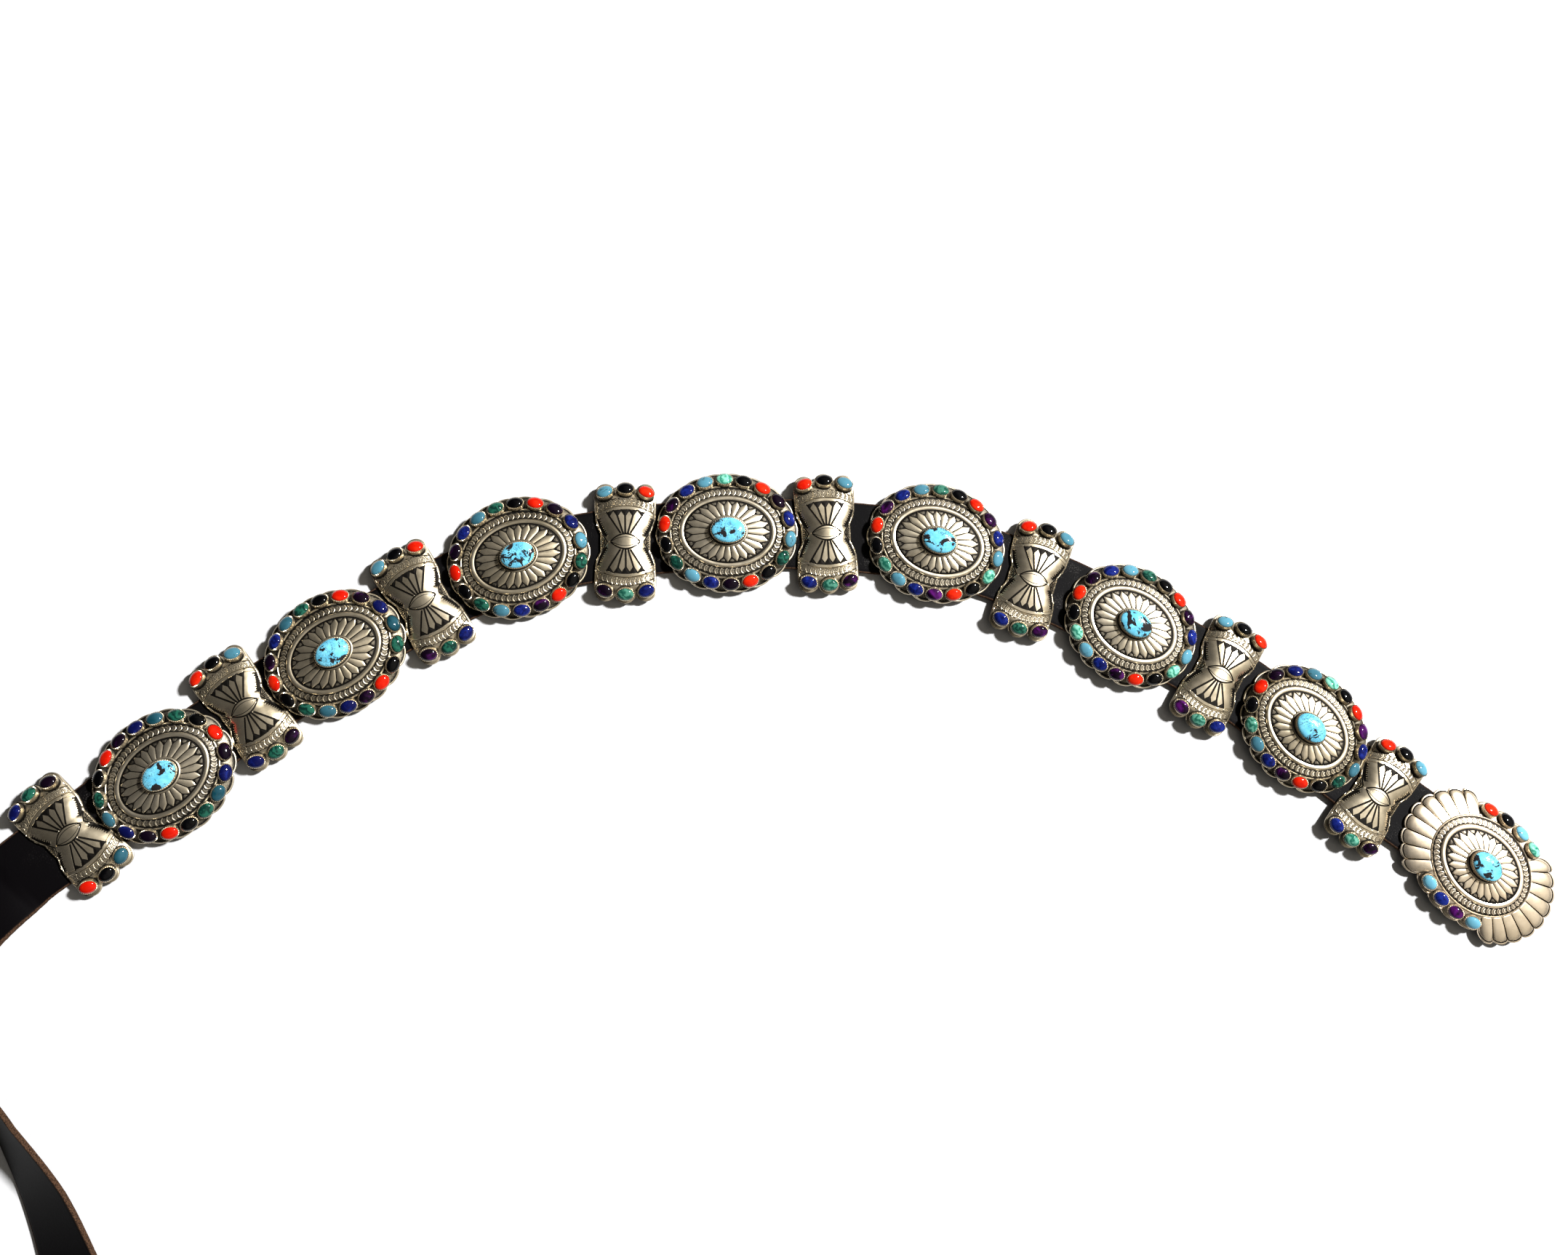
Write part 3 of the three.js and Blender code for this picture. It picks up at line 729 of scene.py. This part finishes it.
class Drawing:
    """Lines drawn on the flat sheet, which become edges of the face's triangles, so that each groove
    and ridge is crisp."""

    def __init__(self):
        self.points, self.edges = [], []

    def line(self, path, closed=False):
        start = len(self.points)
        self.points += [(float(x), float(y)) for x, y in path]
        count = len(self.points) - start
        self.edges += [(start + i, start + i + 1) for i in range(count - 1)]
        if closed:
            self.edges.append((start + count - 1, start))

    def both_ends(self, path):
        """A line at the far end, and the same turned round at the near end."""
        path = np.asarray(path, float)
        self.line(path)
        self.line(-path)

    def groove(self, path, half_width, step=1.0):
        """The two sides of a groove's flat bottom and its two lips, at both ends."""
        points = along_path(path, step)
        square = square_to(points)
        for side in (-1, -0.6, 0.6, 1):
            self.both_ends(points + square * side * half_width)

    def triangles(self, outline, spacing):
        """Triangles inside an outline that keep every line, with loose points in the open stretches."""
        x, y = np.meshgrid(np.arange(-18, 18, spacing), np.arange(-36, 36, spacing * 0.866))
        x[::2] += spacing / 2
        loose = np.stack([x.ravel(), y.ravel()], -1)
        loose = loose[inside(loose, outline)]
        drawn = [np.array(outline)]
        drawn += [along_path((self.points[a], self.points[b]), 0.35) for a, b in self.edges]
        near = mathutils.kdtree.KDTree(sum(len(part) for part in drawn))
        for i, (x, y) in enumerate(np.concatenate(drawn)):
            near.insert((x, y, 0), i)
        near.balance()
        loose = [point for point in loose if near.find((*point, 0))[2] > 0.5 * spacing]
        points = [*outline, *self.points, *loose]
        edges = [(a + len(outline), b + len(outline)) for a, b in self.edges]
        edges += [(i, (i + 1) % len(outline)) for i in range(len(outline))]
        corners = [Vector(point) for point in points]
        made = mathutils.geometry.delaunay_2d_cdt(corners, edges, [], 0, 1e-4, False)
        points = np.array([tuple(point) for point in made[0]])
        triangles = np.array(made[2])
        triangles = triangles[inside(points[triangles].mean(1), outline)]
        used, numbers = np.unique(triangles, return_inverse=True)
        return points[used], numbers.reshape(-1, 3).tolist()


def spacer_edge(inset=0.0):
    """A quarter of a spacer's outline, from the middle of its side to the middle of its far end."""
    path = [(float(np.interp(y, *zip(*WAIST))) - inset, y) for y in np.arange(0, SIDE_LOBE[1], 0.9)]
    for (cx, cy, r), meets in ((SIDE_LOBE, False), (MIDDLE_LOBE, True)):
        for angle in np.arange(0, 91 if meets else 181, 6):
            x = cx + (r - inset) * math.cos(math.radians(angle))
            y = cy + (r - inset) * math.sin(math.radians(angle))
            if (x < LOBES_MEET[0] - 0.15) if meets else (x > LOBES_MEET[0] + 0.15):
                path.append((x, y))
        if not meets:
            path.append((LOBES_MEET[0], LOBES_MEET[1] - 1.05 * inset))
    return path


def tab_line(end_y):
    """One of the lines that spread over a side tab from a point at its inner end."""
    return (11.5, 0.3 * end_y), (13.6, end_y)


def draw_spacer():
    """The lines of a spacer's face."""
    drawing = Drawing()

    def loop(inset):
        quarters = []
        for sx, sy in ((1, 1), (-1, 1), (-1, -1), (1, -1)):
            quarter = [(x * sx, y * sy) for x, y in spacer_edge(inset)]
            quarters += quarter[1:] if sx * sy > 0 else quarter[-2::-1]
        return quarters

    for inset in (0.12, 0.45, 0.8, 0.95, 1.2, 1.55):
        drawing.line(loop(inset), closed=True)
    ridges = (17.95, 18.2, 18.45, 18.62, 18.85, 19.2, 19.6, 19.85, 20.0, 20.35, 20.75)
    rim = (24.9, 25.06, 25.22, 25.35, 25.65, 25.95, 26.08, SHELF_STARTS)
    x = np.linspace(-16.8, 16.8, 43)
    for v in (*ridges, *rim):
        drawing.both_ends(np.stack([x, v - SAG * x**2], -1))
    q_steps = np.array([-1, -0.9, -0.75, -0.5, -0.25, 0, 0.25, 0.5, 0.75, 0.9, 1])

    def on_band(across, q):
        return np.stack([across, BAND_MIDDLE + BAND_HALF * q - SAG * across**2], -1)

    for cell in range(-6, 7):
        for p in (0.02, 0.08, 0.2, 0.32, 0.38):
            across = CRESCENT_STEP * (cell - p - CRESCENT_BEND * q_steps**2) + 0.8
            drawing.both_ends(on_band(across, q_steps))
        for q in (-0.8, -0.6, -0.4, -0.2, 0, 0.2, 0.4, 0.6, 0.8):
            p = np.array([0.38, 0.52, 0.67, 0.82, 0.98])
            across = CRESCENT_STEP * (cell - p - CRESCENT_BEND * q**2) + 0.8
            drawing.both_ends(on_band(across, np.full(5, q)))
    for foot, fork_x, fork_y in DIVIDERS:
        drawing.groove(((foot, FAN_FOOT), (fork_x, fork_y)), WIDTHS["divider"])
        for side in (-FORK, FORK):
            drawing.groove(((fork_x, fork_y), (fork_x + side, TIPS_AT)), WIDTHS["fork"])
    insets = ((ALMOND, (-0.5, -0.28, 0.28, 0.5)), (LENS, (-0.34, 0, 0.34, 0.8, 1.4, 2.0)))
    for (half_length, half_width), steps in insets:
        for c in steps:
            reach = half_length * math.sqrt(max(0, 1 - c / half_width))
            x = np.linspace(-reach, reach, 33)
            drawing.both_ends(np.stack([x, half_width * (1 - (x / half_length) ** 2) - c], -1))
    for toward in (-1, 1):
        drawing.groove([(x, y * toward) for x, y in SWEEP], WIDTHS["sweep"], step=0.8)
        for x, y in along_path(SWEEP, TOOTH_STEP):
            tip = (x + TOOTH[0], (y + TOOTH[1]) * toward)
            drawing.groove([(x, y * toward), tip], WIDTHS["tooth"])
        drawing.groove([TAB_FROM, (TAB_TO[0], TAB_TO[1] * toward)], WIDTHS["tab"])
    for end_y in TAB_LINES:
        drawing.groove(tab_line(end_y), WIDTHS["tab line"])
    return drawing, loop(0)


def almond(x, y, half_length, half_width):
    """How far inside the almond, in millimetres across it; below 0 outside."""
    return half_width * (1 - (x / half_length) ** 2) - np.abs(y)


def spacer_band(x, q):
    """The crescents across a spacer's end, 0 to 1 high, with four short rays in each."""
    p = (-(x - 0.8) / CRESCENT_STEP - CRESCENT_BEND * q**2) % 1
    ridge = held(1.3 * hump(p, 0.02, 0.38)) * np.sqrt(held(1 - q**2))
    rays = (0.5 - 0.5 * np.cos(2 * math.pi * (q + 0.8) / 0.4)) * hump(p, 0.36, 1.0) * (np.abs(q) < 0.81)
    return np.maximum(ridge, 0.8 * rays)


def spacer_relief(x, y, v, side):
    """The stamped pattern as (height, black) over a spacer's face. v is y along the sagging lines,
    and side is the distance in from the edge."""
    across, out = np.where(y < 0, -x, x), np.abs(y)
    line, dark = np.zeros(x.shape), np.zeros(x.shape)

    def cut(mask, depth, black=1.0):
        np.minimum(line, -depth * mask, out=line)
        np.maximum(dark, black * held(1.3 * mask), out=dark)

    def raise_up(mask, height):
        np.add(line, height * mask, out=line)
        np.multiply(dark, 1 - 0.8 * mask, out=dark)

    for foot, fork_x, fork_y in DIVIDERS:
        half = FORK * (out - fork_y) / (TIPS_AT - fork_y)
        wedge = held((half - np.abs(across - fork_x)) / 0.36) * (v < 18.2)
        cut(wedge, 0.3, 0.75)
        divider = (foot, FAN_FOOT), (fork_x, fork_y)
        cut(line_near(across, out, divider, WIDTHS["divider"]), 0.4)
        for tip in (fork_x - FORK, fork_x + FORK):
            branch = (fork_x, fork_y), (tip, TIPS_AT)
            cut(line_near(across, out, branch, WIDTHS["fork"]), 0.36)
    cut(hump(v, *INNER_GROOVE), 0.3, 0.6)
    raise_up(hump(v, *RIDGE), 0.4)
    cut(hump(v, *OUTER_GROOVE), 0.35, 0.6)
    q = (v - BAND_MIDDLE) / BAND_HALF
    relief = spacer_band(across, q)
    in_band = (np.abs(q) <= 1) & (side > 1.2)
    np.copyto(line, -0.18 + 0.45 * relief, where=in_band)
    np.copyto(dark, held(0.6 - 0.7 * relief), where=in_band)
    cut(hump(v, *RIM_GROOVE), 0.3, 0.6)
    raise_up(hump(v, *RIM_RIDGE), 0.35)
    # The ring inside the almond, round the boss, is painted a little darker: painted shade.
    ring = held(almond(x, y, *ALMOND) / 0.4)
    np.maximum(dark, 0.2 * ring, out=dark)
    boss = np.clip(almond(x, y, *LENS), 0, 1.4) / 1.4
    line += 0.22 * ring + 0.5 * np.sqrt(boss)
    dark *= 1 - 0.9 * held(3 * boss)
    for oval, deep, thick in ((ALMOND, 0.35, 0.5), (LENS, 0.1, 0.34)):
        edge = held((1 - np.abs(almond(x, y, *oval)) / thick) / 0.4)
        line -= deep * edge
        np.maximum(dark, edge * (np.abs(x) < oval[0]), out=dark)
    wide = np.abs(x)
    past = wide - TAB_FROM[0]
    on_tab = np.clip(TAB_TO[1] / (TAB_TO[0] - TAB_FROM[0]) * past - out, 0, 0.8) / 0.8
    line += on_tab * held(side / 1.2) * held(0.4 * past)
    border = (wide > np.interp(out, *np.array(SWEEP[::-1]).T[::-1])) & (side > 0)
    border &= (out > SWEEP[-1][1]) & (out < SWEEP[0][1])
    line -= 0.2 * border
    np.maximum(dark, 0.3 * border, out=dark)
    cut(line_near(wide, out, SWEEP, WIDTHS["sweep"]), 0.4, 0.9)
    for tooth_x, tooth_y in along_path(SWEEP, TOOTH_STEP):
        tip = (tooth_x + TOOTH[0], tooth_y + TOOTH[1])
        cut(line_near(wide, out, ((tooth_x, tooth_y), tip), WIDTHS["tooth"]), 0.25, 0.85)
    for end_y in TAB_LINES:
        cut(line_near(wide, y, tab_line(end_y), WIDTHS["tab line"]), 0.3)
    cut(line_near(wide, out, (TAB_FROM, TAB_TO), WIDTHS["tab"]), 0.3, 0.9)
    cut(hump(side, 0.8, 1.55), 0.3, 0.55)
    raise_up(hump(side, -0.1, 0.95), 0.22)
    return line, dark


def spacer_heights(points):
    """Height and blackness over the points of a spacer's face."""
    x, y = points.T
    out = np.abs(y)
    v = out.copy()
    for _ in range(12):  # v stands on both sides of its own rule, so it is closed in on
        ease = held(v / 18)
        v = out + SAG * ease**2 * (3 - 2 * ease) * x**2
    half = np.interp(out, *zip(*WAIST))
    past = np.max([r - np.hypot(x - cx, out - cy) for cx, cy, r in SPACER_LOBES], 0)
    side = np.where(out > SIDE_LOBE[1], past, np.maximum(past, half - np.abs(x)))
    end = np.max([cy + np.sqrt(np.clip(r**2 - (x - cx) ** 2, 0, None)) for cx, cy, r in SPACER_LOBES], 0)
    shelf_y = SHELF_STARTS - SAG * x**2
    fall = held((out - shelf_y) / np.maximum(end - shelf_y, 0.5))
    crown = SPACER_CROWN - 0.0034 * out**2 - RIM_TOP
    width = held(np.abs(x) / half)
    height = RIM_TOP + crown * (1 - width ** (2.2 + out / 20)) * (1 - fall**1.4)
    relief, black = spacer_relief(x, y, v, side)
    on_shelf = v > SHELF_STARTS + 0.01
    relief = np.where(on_shelf, 0.22 * hump(side, -0.1, 0.95), relief)
    black = np.where(on_shelf, held(0.34 - 0.4 * hump(side, -0.1, 1.1)), black)
    return height + relief, black


def rim_of(triangles):
    """The open edge of a sheet of triangles, in order."""
    sides = {(tri[i], tri[(i + 1) % len(tri)]) for tri in triangles for i in range(len(tri))}
    after = {a: b for a, b in sides if (b, a) not in sides}
    ring = [min(after)]
    while after[ring[-1]] != ring[0]:
        ring.append(after[ring[-1]])
    return ring


def seats_at_ends(seats, far, near):
    """Letters and places of the stones at the far end, and then, turned round, at the near end."""
    for end, letters in ((0, far), (math.pi, near[::-1])):
        for letter, (x, y, lean) in zip(letters, seats):
            yield letter, (
                Matrix.Rotation(end, 4, "Z") @ Matrix.Translation((x, y, SEAT_HEIGHT))
                @ Matrix.Rotation(math.radians(lean), 4, "Z") @ Matrix.Rotation(-SLOPE, 4, "X")
            )


drawing, outline = draw_spacer()
spacer_points, spacer_triangles = drawing.triangles(outline, 1.0)
spacer_z, spacer_black = spacer_heights(spacer_points)
spacer_face = np.c_[spacer_points, spacer_z]
spacer_rim = np.array(rim_of(spacer_triangles))
for number, (turn, (far, near)) in enumerate(zip(SPACER_TURNS, SPACER_STONES), 1):
    work = Work()
    work.add(spacer_face, spacer_black)
    work.faces += [list(triangle) for triangle in spacer_triangles]
    lower = spacer_face[spacer_rim] - (0, 0, SHEET)
    inner = np.c_[lower[:, :2] * (0.7, 0.72), np.full(len(lower), 7.2)]
    back = [work.add(lower, 0.6), work.add(inner, 0.7)]
    work.quads(np.stack([spacer_rim, *back]))
    work.cap(back[-1], flip=True)
    back_loop(work, 0, 9.0)
    place = standing(f"butterfly_{number}", turn)
    for letter, seat in seats_at_ends(SPACER_SEATS, far, near):
        set_stone(work, place, seat, letter, 0.15 + 0.5 * (number - 1) / 7, 1.3)
    made = work.piece(f"silver_spacer_{number}", dull_finish, "oxide", place)
    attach(made, "root")
    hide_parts(f"butterfly_{number}")


# The buckle. One long oval of sheet silver, 102 mm by 69 mm: a concho's stamped middle in a skirt
# with nine fanned petals at each end and four stones on each side. A loop soldered behind it holds
# the strap's end, and a plain hook beside the loop catches the other end.
BUCKLE_TURN = -43
BUCKLE_SEATS = ((-16.6, 26.9, 12), (-5.6, 29.2, 3), (5.6, 29.2, -3), (16.6, 26.9, -12))
BUCKLE_STONES = ("RKTM", "TBPT")  # far side and near side, left to right
BUCKLE_LOBES = (  # where a lobe ends, in degrees; the outline's reach there and at the lobe's tip
    (5.1, 48.2, 50.8), (15.6, 47.2, 50.2), (26.5, 45.3, 48.8), (37.5, 42.6, 46.6),
    (50.0, 35.8, 44.0), (70.5, 33.8, 36.8), (90.0, 33.4, 35.2), (109.5, 33.8, 35.2),
    (130.0, 35.8, 36.8), (142.5, 42.6, 44.0), (153.5, 45.3, 46.6), (164.4, 47.2, 48.8),
    (174.9, 48.2, 50.2),
)
PETAL_REACH = 40  # lobes whose tips reach further are petals, and the others carry stones
LOBE_STEPS = np.array([-1, -0.945, -0.88, -0.77, -0.6, -0.3, 0, 0.3, 0.6, 0.77, 0.88, 0.945])


def buckle_outline():
    """The outline's angles and reach, the place across each lobe, and 1 in a petal or 0 at a stone."""
    angle, reach, across, petal = [], [], [], []
    start, low = -5.1, 48.2
    for end, next_low, tip in BUCKLE_LOBES * 2:
        end += 180 * (len(angle) >= len(BUCKLE_LOBES))
        share = (LOBE_STEPS + 1) / 2
        base = low + (next_low - low) * share
        angle.append(start + (end - start) * share)
        reach.append(base + (tip - (low + next_low) / 2) * np.sqrt(1 - LOBE_STEPS**2))
        across.append(LOBE_STEPS)
        petal.append(np.full(len(share), float(tip > PETAL_REACH)))
        start, low = end, next_low
    return (np.concatenate(part) for part in (np.radians(angle), reach, across, petal))


def buckle_skirt(work, inner, inner_turns):
    """Petals and stone shelves, in rows from the raised line out to the rim and round its edge."""
    angle, reach, across, petal = buckle_outline()
    rim_ends, foot_ends = (np.array([-90, -end, end, 90]) for end in (50, 47.5))
    fan, feet = (np.radians(np.r_[e, e[1:] + 180, e[1:] + 360]) for e in (rim_ends, foot_ends))
    foot_angle = np.interp(angle, fan, feet)
    a, b, _ = BAND_EDGE
    on_band = np.unwrap(np.arctan2(np.sin(foot_angle) * a, np.cos(foot_angle) * b))
    turns = on_band - BAND_EVEN * np.sin(2 * on_band)
    edge = raised_line(work, inner, inner_turns, turns)
    foot = off_band(turns, LINE_FOOT, 9.55)
    rim = lifted(reach * np.cos(angle), reach * np.sin(angle), RIM_TOP)
    long = np.linalg.norm((rim - foot)[:, :2], axis=1)
    steps = [(1 - share, 1.9) for share in (0, 0.03, 0.08, 0.18, 0.34, 0.5, 0.66, 0.82, 1)]
    steps += [(0, back) for back in (1.6, 1.35, 1.1, 0.9, 0.72, 0.45, 0.2, 0.03, 0)]
    rows = [edge]
    for part, back in steps:  # part of the way in past back, a distance in from the rim
        gone = back + part * (long - back)
        share = (1 - gone / long)[:, None]
        points = foot + (rim - foot) * share
        groove = held((np.abs(across) - 0.88) / 0.065) * (gone > 0.9) * (gone < long - 0.4)
        arc = np.where(gone < 1.9, hump(gone, 0.75, 1.65), 0)
        crown = (1 - np.abs(across) ** 4) * held((gone - 1.2) / 1.6)
        petals = 0.2 * crown - np.maximum(0.4 * groove, 0.25 * arc) + 0.15 * hump(gone, -0.15, 0.85)
        shelf = 0.25 * hump(gone, -0.15, 0.9) - 0.15 * hump(gone, 0.85, 1.9)
        points[:, 2] += np.where(petal > 0, petals, shelf) + 0.5 * np.sin(math.pi * share[:, 0])
        dark_petal = held(np.maximum(1.25 * groove, 1.1 * arc))
        dark_shelf = held(0.36 - 0.4 * hump(gone, -0.15, 1.0))
        rows.append(work.add(points, np.where(petal > 0, dark_petal, dark_shelf)))
    lower = np.concatenate(work.points)[rows[-1]] - (0, 0, SHEET)
    rows.append(work.add(lower, 0.6))
    work.quads(np.stack(rows))
    return rows[-1], turns


work = Work()
underside(work, *buckle_skirt(work, *stamped_middle(work)))
centre_bezel(work)
back_loop(work, -24, 7.3)
hook_at = 25.25  # how far out the hook turns up to the silver
hook = [(10, 2.15), *((hook_at - 1 + math.sin(a), 3.15 - math.cos(a)) for a in QUARTER), (hook_at, 10.2)]
strip(work, hook, 8, 1.5, Matrix.Rotation(-math.pi / 2, 4, "Z"))
place = standing("buckle_turquoise", BUCKLE_TURN)
for letter, seat in seats_at_ends(BUCKLE_SEATS, *BUCKLE_STONES):
    set_stone(work, place, seat, letter, 0.85)
buckle_finish = silver("bright silver", (0.96, 0.81, 0.61), (0.78, 0.64, 0.46))
made = work.piece("silver_buckle", buckle_finish, "oxide", place)
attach(made, "root")
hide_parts("buckle")


# The turquoises. Eight polished ovals of pale blue turquoise with black matrix, 19 mm by 14 mm: six
# blotched, and two finely veined on the last concho and the buckle. Each rests on a collar in its
# bezel, whose teeth fold in over its edge.
MAIN_STONE = (9.6, 7.1, 14.9, 17.2, 2.7)  # half length, half width; foot, girdle and rise of its dome


def turquoise(name, black_from):
    """Pale blue stone; black_from is how strong its noise must be for a black blotch."""
    material, shader, place = finish_of(name, Roughness=0.09, Specular_IOR_Level=0.3)
    clouds = noise(place, 210, 3, 0.6).between(0.3, 0.72)
    blue = clouds.mixed((0.15, 0.46, 0.60), (0.075, 0.32, 0.46))
    grit = noise(place, 900, 3, 0.7)
    patches = noise(place, 135, 4, 0.6, 1.2) + (grit - 0.5) * 0.12
    blotches = patches.between(black_from, black_from + 0.025)
    veins = noise(place, 260, 3, 0.55, 2.2)
    web = (veins - 0.5) * (veins - 0.5) * 900
    threads = (1 - web.held()) * noise(place, 90, 2).between(0.45, 0.6)
    matrix = (blotches + threads * 0.8).held()
    colour = matrix.mixed(blue, (0.012, 0.011, 0.012))
    rim = mark_of(place, "tone")
    dress(shader, Base_Color=(rim * 0.12).mixed(colour, (0.02, 0.05, 0.07)))
    dress(shader, Normal=bumped(place, 1 - matrix, 0.12, 0.0003))
    return material


blotched_turquoise = turquoise("blotched turquoise", 0.53)
veined_turquoise = turquoise("veined turquoise", 0.585)
main_stones = [(f"turquoise_{number}", turn) for number, turn in enumerate(CONCHO_TURNS, 1)]
for name, turn in [*main_stones, ("buckle_turquoise", BUCKLE_TURN)]:
    work = Work()
    cabochon(work, *MAIN_STONE, standing(name, turn), 0, columns=56, rows=12)
    finish = veined_turquoise if name in ("turquoise_7", "buckle_turquoise") else blotched_turquoise
    stone = work.piece(f"main_stone_{name}", finish, "tone")
    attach(stone, "root")
    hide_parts(name)


# The small stones. Eighteen stand round each concho, six on each spacer and eight on the buckle,
# all 9 mm by 7 mm cabochons: turquoise, malachite, lapis, amethyst, coral and onyx by turns.
def plain_stone(name, dark, light, speckle_scale, low, high, roughness=0.07):
    """A polished stone of two shades in clouds, with a shade of its own for each stone."""
    material, shader, place = finish_of(name, Roughness=roughness, Specular_IOR_Level=0.22)
    tone = mark_of(place, "tone")
    clouds = noise(place, speckle_scale, 4, 0.6, 0.8) + (tone - 0.5) * 0.3
    dress(shader, Base_Color=clouds.between(low, high).mixed(dark, light))
    dress(shader, Normal=bumped(place, noise(place, 500, 2), 0.05, 0.0002))
    return material


def malachite():
    """Green in wavy bands of light and dark, some stones much paler than others."""
    material, shader, place = finish_of("banded malachite", Roughness=0.07, Specular_IOR_Level=0.25)
    tone = mark_of(place, "tone")
    bands = place.node(
        "TexWave", {"wave_type": "BANDS", "bands_direction": "DIAGONAL"}, 1,
        Vector=place, Scale=95.0, Distortion=9.0, Detail=2.0, Detail_Scale=2.5,
    )
    green = bands.mixed((0.002, 0.016, 0.012), (0.010, 0.07, 0.045))
    pale = bands.mixed((0.012, 0.14, 0.09), (0.17, 0.46, 0.34))
    dress(shader, Base_Color=tone.between(0.40, 0.62).mixed(green, pale))
    return material


def rim_turquoise():
    material, shader, place = finish_of("small turquoise", Roughness=0.07, Specular_IOR_Level=0.3)
    tone = mark_of(place, "tone")
    pale = (tone * 0.95 + noise(place, 150, 2) * 0.3 - 0.2).held()
    blue = pale.mixed((0.003, 0.028, 0.04), (0.12, 0.34, 0.45))
    matrix = noise(place, 240, 4, 0.6, 1.5).between(0.60, 0.66)
    dress(shader, Base_Color=(matrix * 0.85).mixed(blue, (0.02, 0.04, 0.04)))
    return material


LAPIS = (0.002, 0.003, 0.035), (0.008, 0.018, 0.16)  # dark and light of each stone
AMETHYST = (0.003, 0.001, 0.004), (0.10, 0.008, 0.14)
CORAL = (0.36, 0.005, 0.001), (0.54, 0.020, 0.004)
ONYX = (0.0006, 0.0006, 0.0008), (0.002, 0.002, 0.0025)
stone_finishes = {
    "turquoise": rim_turquoise(),
    "malachite": malachite(),
    "lapis": plain_stone("deep blue lapis", *LAPIS, 300, 0.35, 0.75),
    "amethyst": plain_stone("dark amethyst", *AMETHYST, 120, 0.45, 0.85),
    "coral": plain_stone("red coral", *CORAL, 200, 0.3, 0.8),
    "onyx": plain_stone("black onyx", *ONYX, 200, 0.3, 0.8, 0.05),
}
for kind, work in rim_stones.items():
    stones = work.piece(f"small_stones_{kind}", stone_finishes[kind], "tone")
    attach(stones, "root")


# The surface and the light. The belt lies on a white sheet under one small lamp above and to the
# right of it, in a room that is bright on the lamp's side and dim on the other.
def white_sheet():
    material, shader, place = finish_of("white sheet", Roughness=0.8)
    dress(shader, Base_Color=noise(place, 300, 2).mixed((0.45, 0.45, 0.455), (0.48, 0.48, 0.485)))
    return material


FLOOR = 10  # metres from the middle to each side
sheet_mesh = bpy.data.meshes.new("white_sheet")
corners = [(-FLOOR, -FLOOR, 0), (FLOOR, -FLOOR, 0), (FLOOR, FLOOR, 0), (-FLOOR, FLOOR, 0)]
sheet_mesh.from_pydata(corners, [], [(0, 1, 2, 3)])
sheet_mesh.materials.append(white_sheet())
sheet = bpy.data.objects.new("white_sheet", sheet_mesh)
scene.collection.objects.link(sheet)


LAMP_AWAY = 5.0  # metres from the belt's middle
turn, rise = math.radians(28), math.radians(50)  # towards the lamp: round from +X, and up
toward = Vector((math.cos(turn) * math.cos(rise), math.sin(turn) * math.cos(rise), math.sin(rise)))
facing = toward.to_track_quat("Z", "Y").to_matrix().to_4x4()
lamp_data = bpy.data.lights.new("lamp", "AREA")
lamp_data.size, lamp_data.energy = 0.42, 760
lamp = bpy.data.objects.new("lamp", lamp_data)
lamp.matrix_world = Matrix.Translation(toward * LAMP_AWAY) @ facing
scene.collection.objects.link(lamp)
world = bpy.data.worlds.new("room")
scene.world = world
world.use_nodes = True
tree = world.node_tree
look = Shade(tree, tree.nodes.new("ShaderNodeTexCoord").outputs["Generated"])
side = look.node("SeparateXYZ", None, 0, Vector=look)
overhead = look.node("SeparateXYZ", None, 2, Vector=look).between(0.05, 0.60)
patches = noise(look, 2.6, 2, 0.5)
glow = (side * 0.9 + (patches - 0.5) * 0.9).between(-0.30, 0.62) * overhead
room = glow.mixed((0.022, 0.022, 0.024), (0.60, 0.565, 0.49))
tree.links.new(room.socket, tree.nodes["Background"].inputs["Color"])
scene.view_settings.view_transform = "Standard"
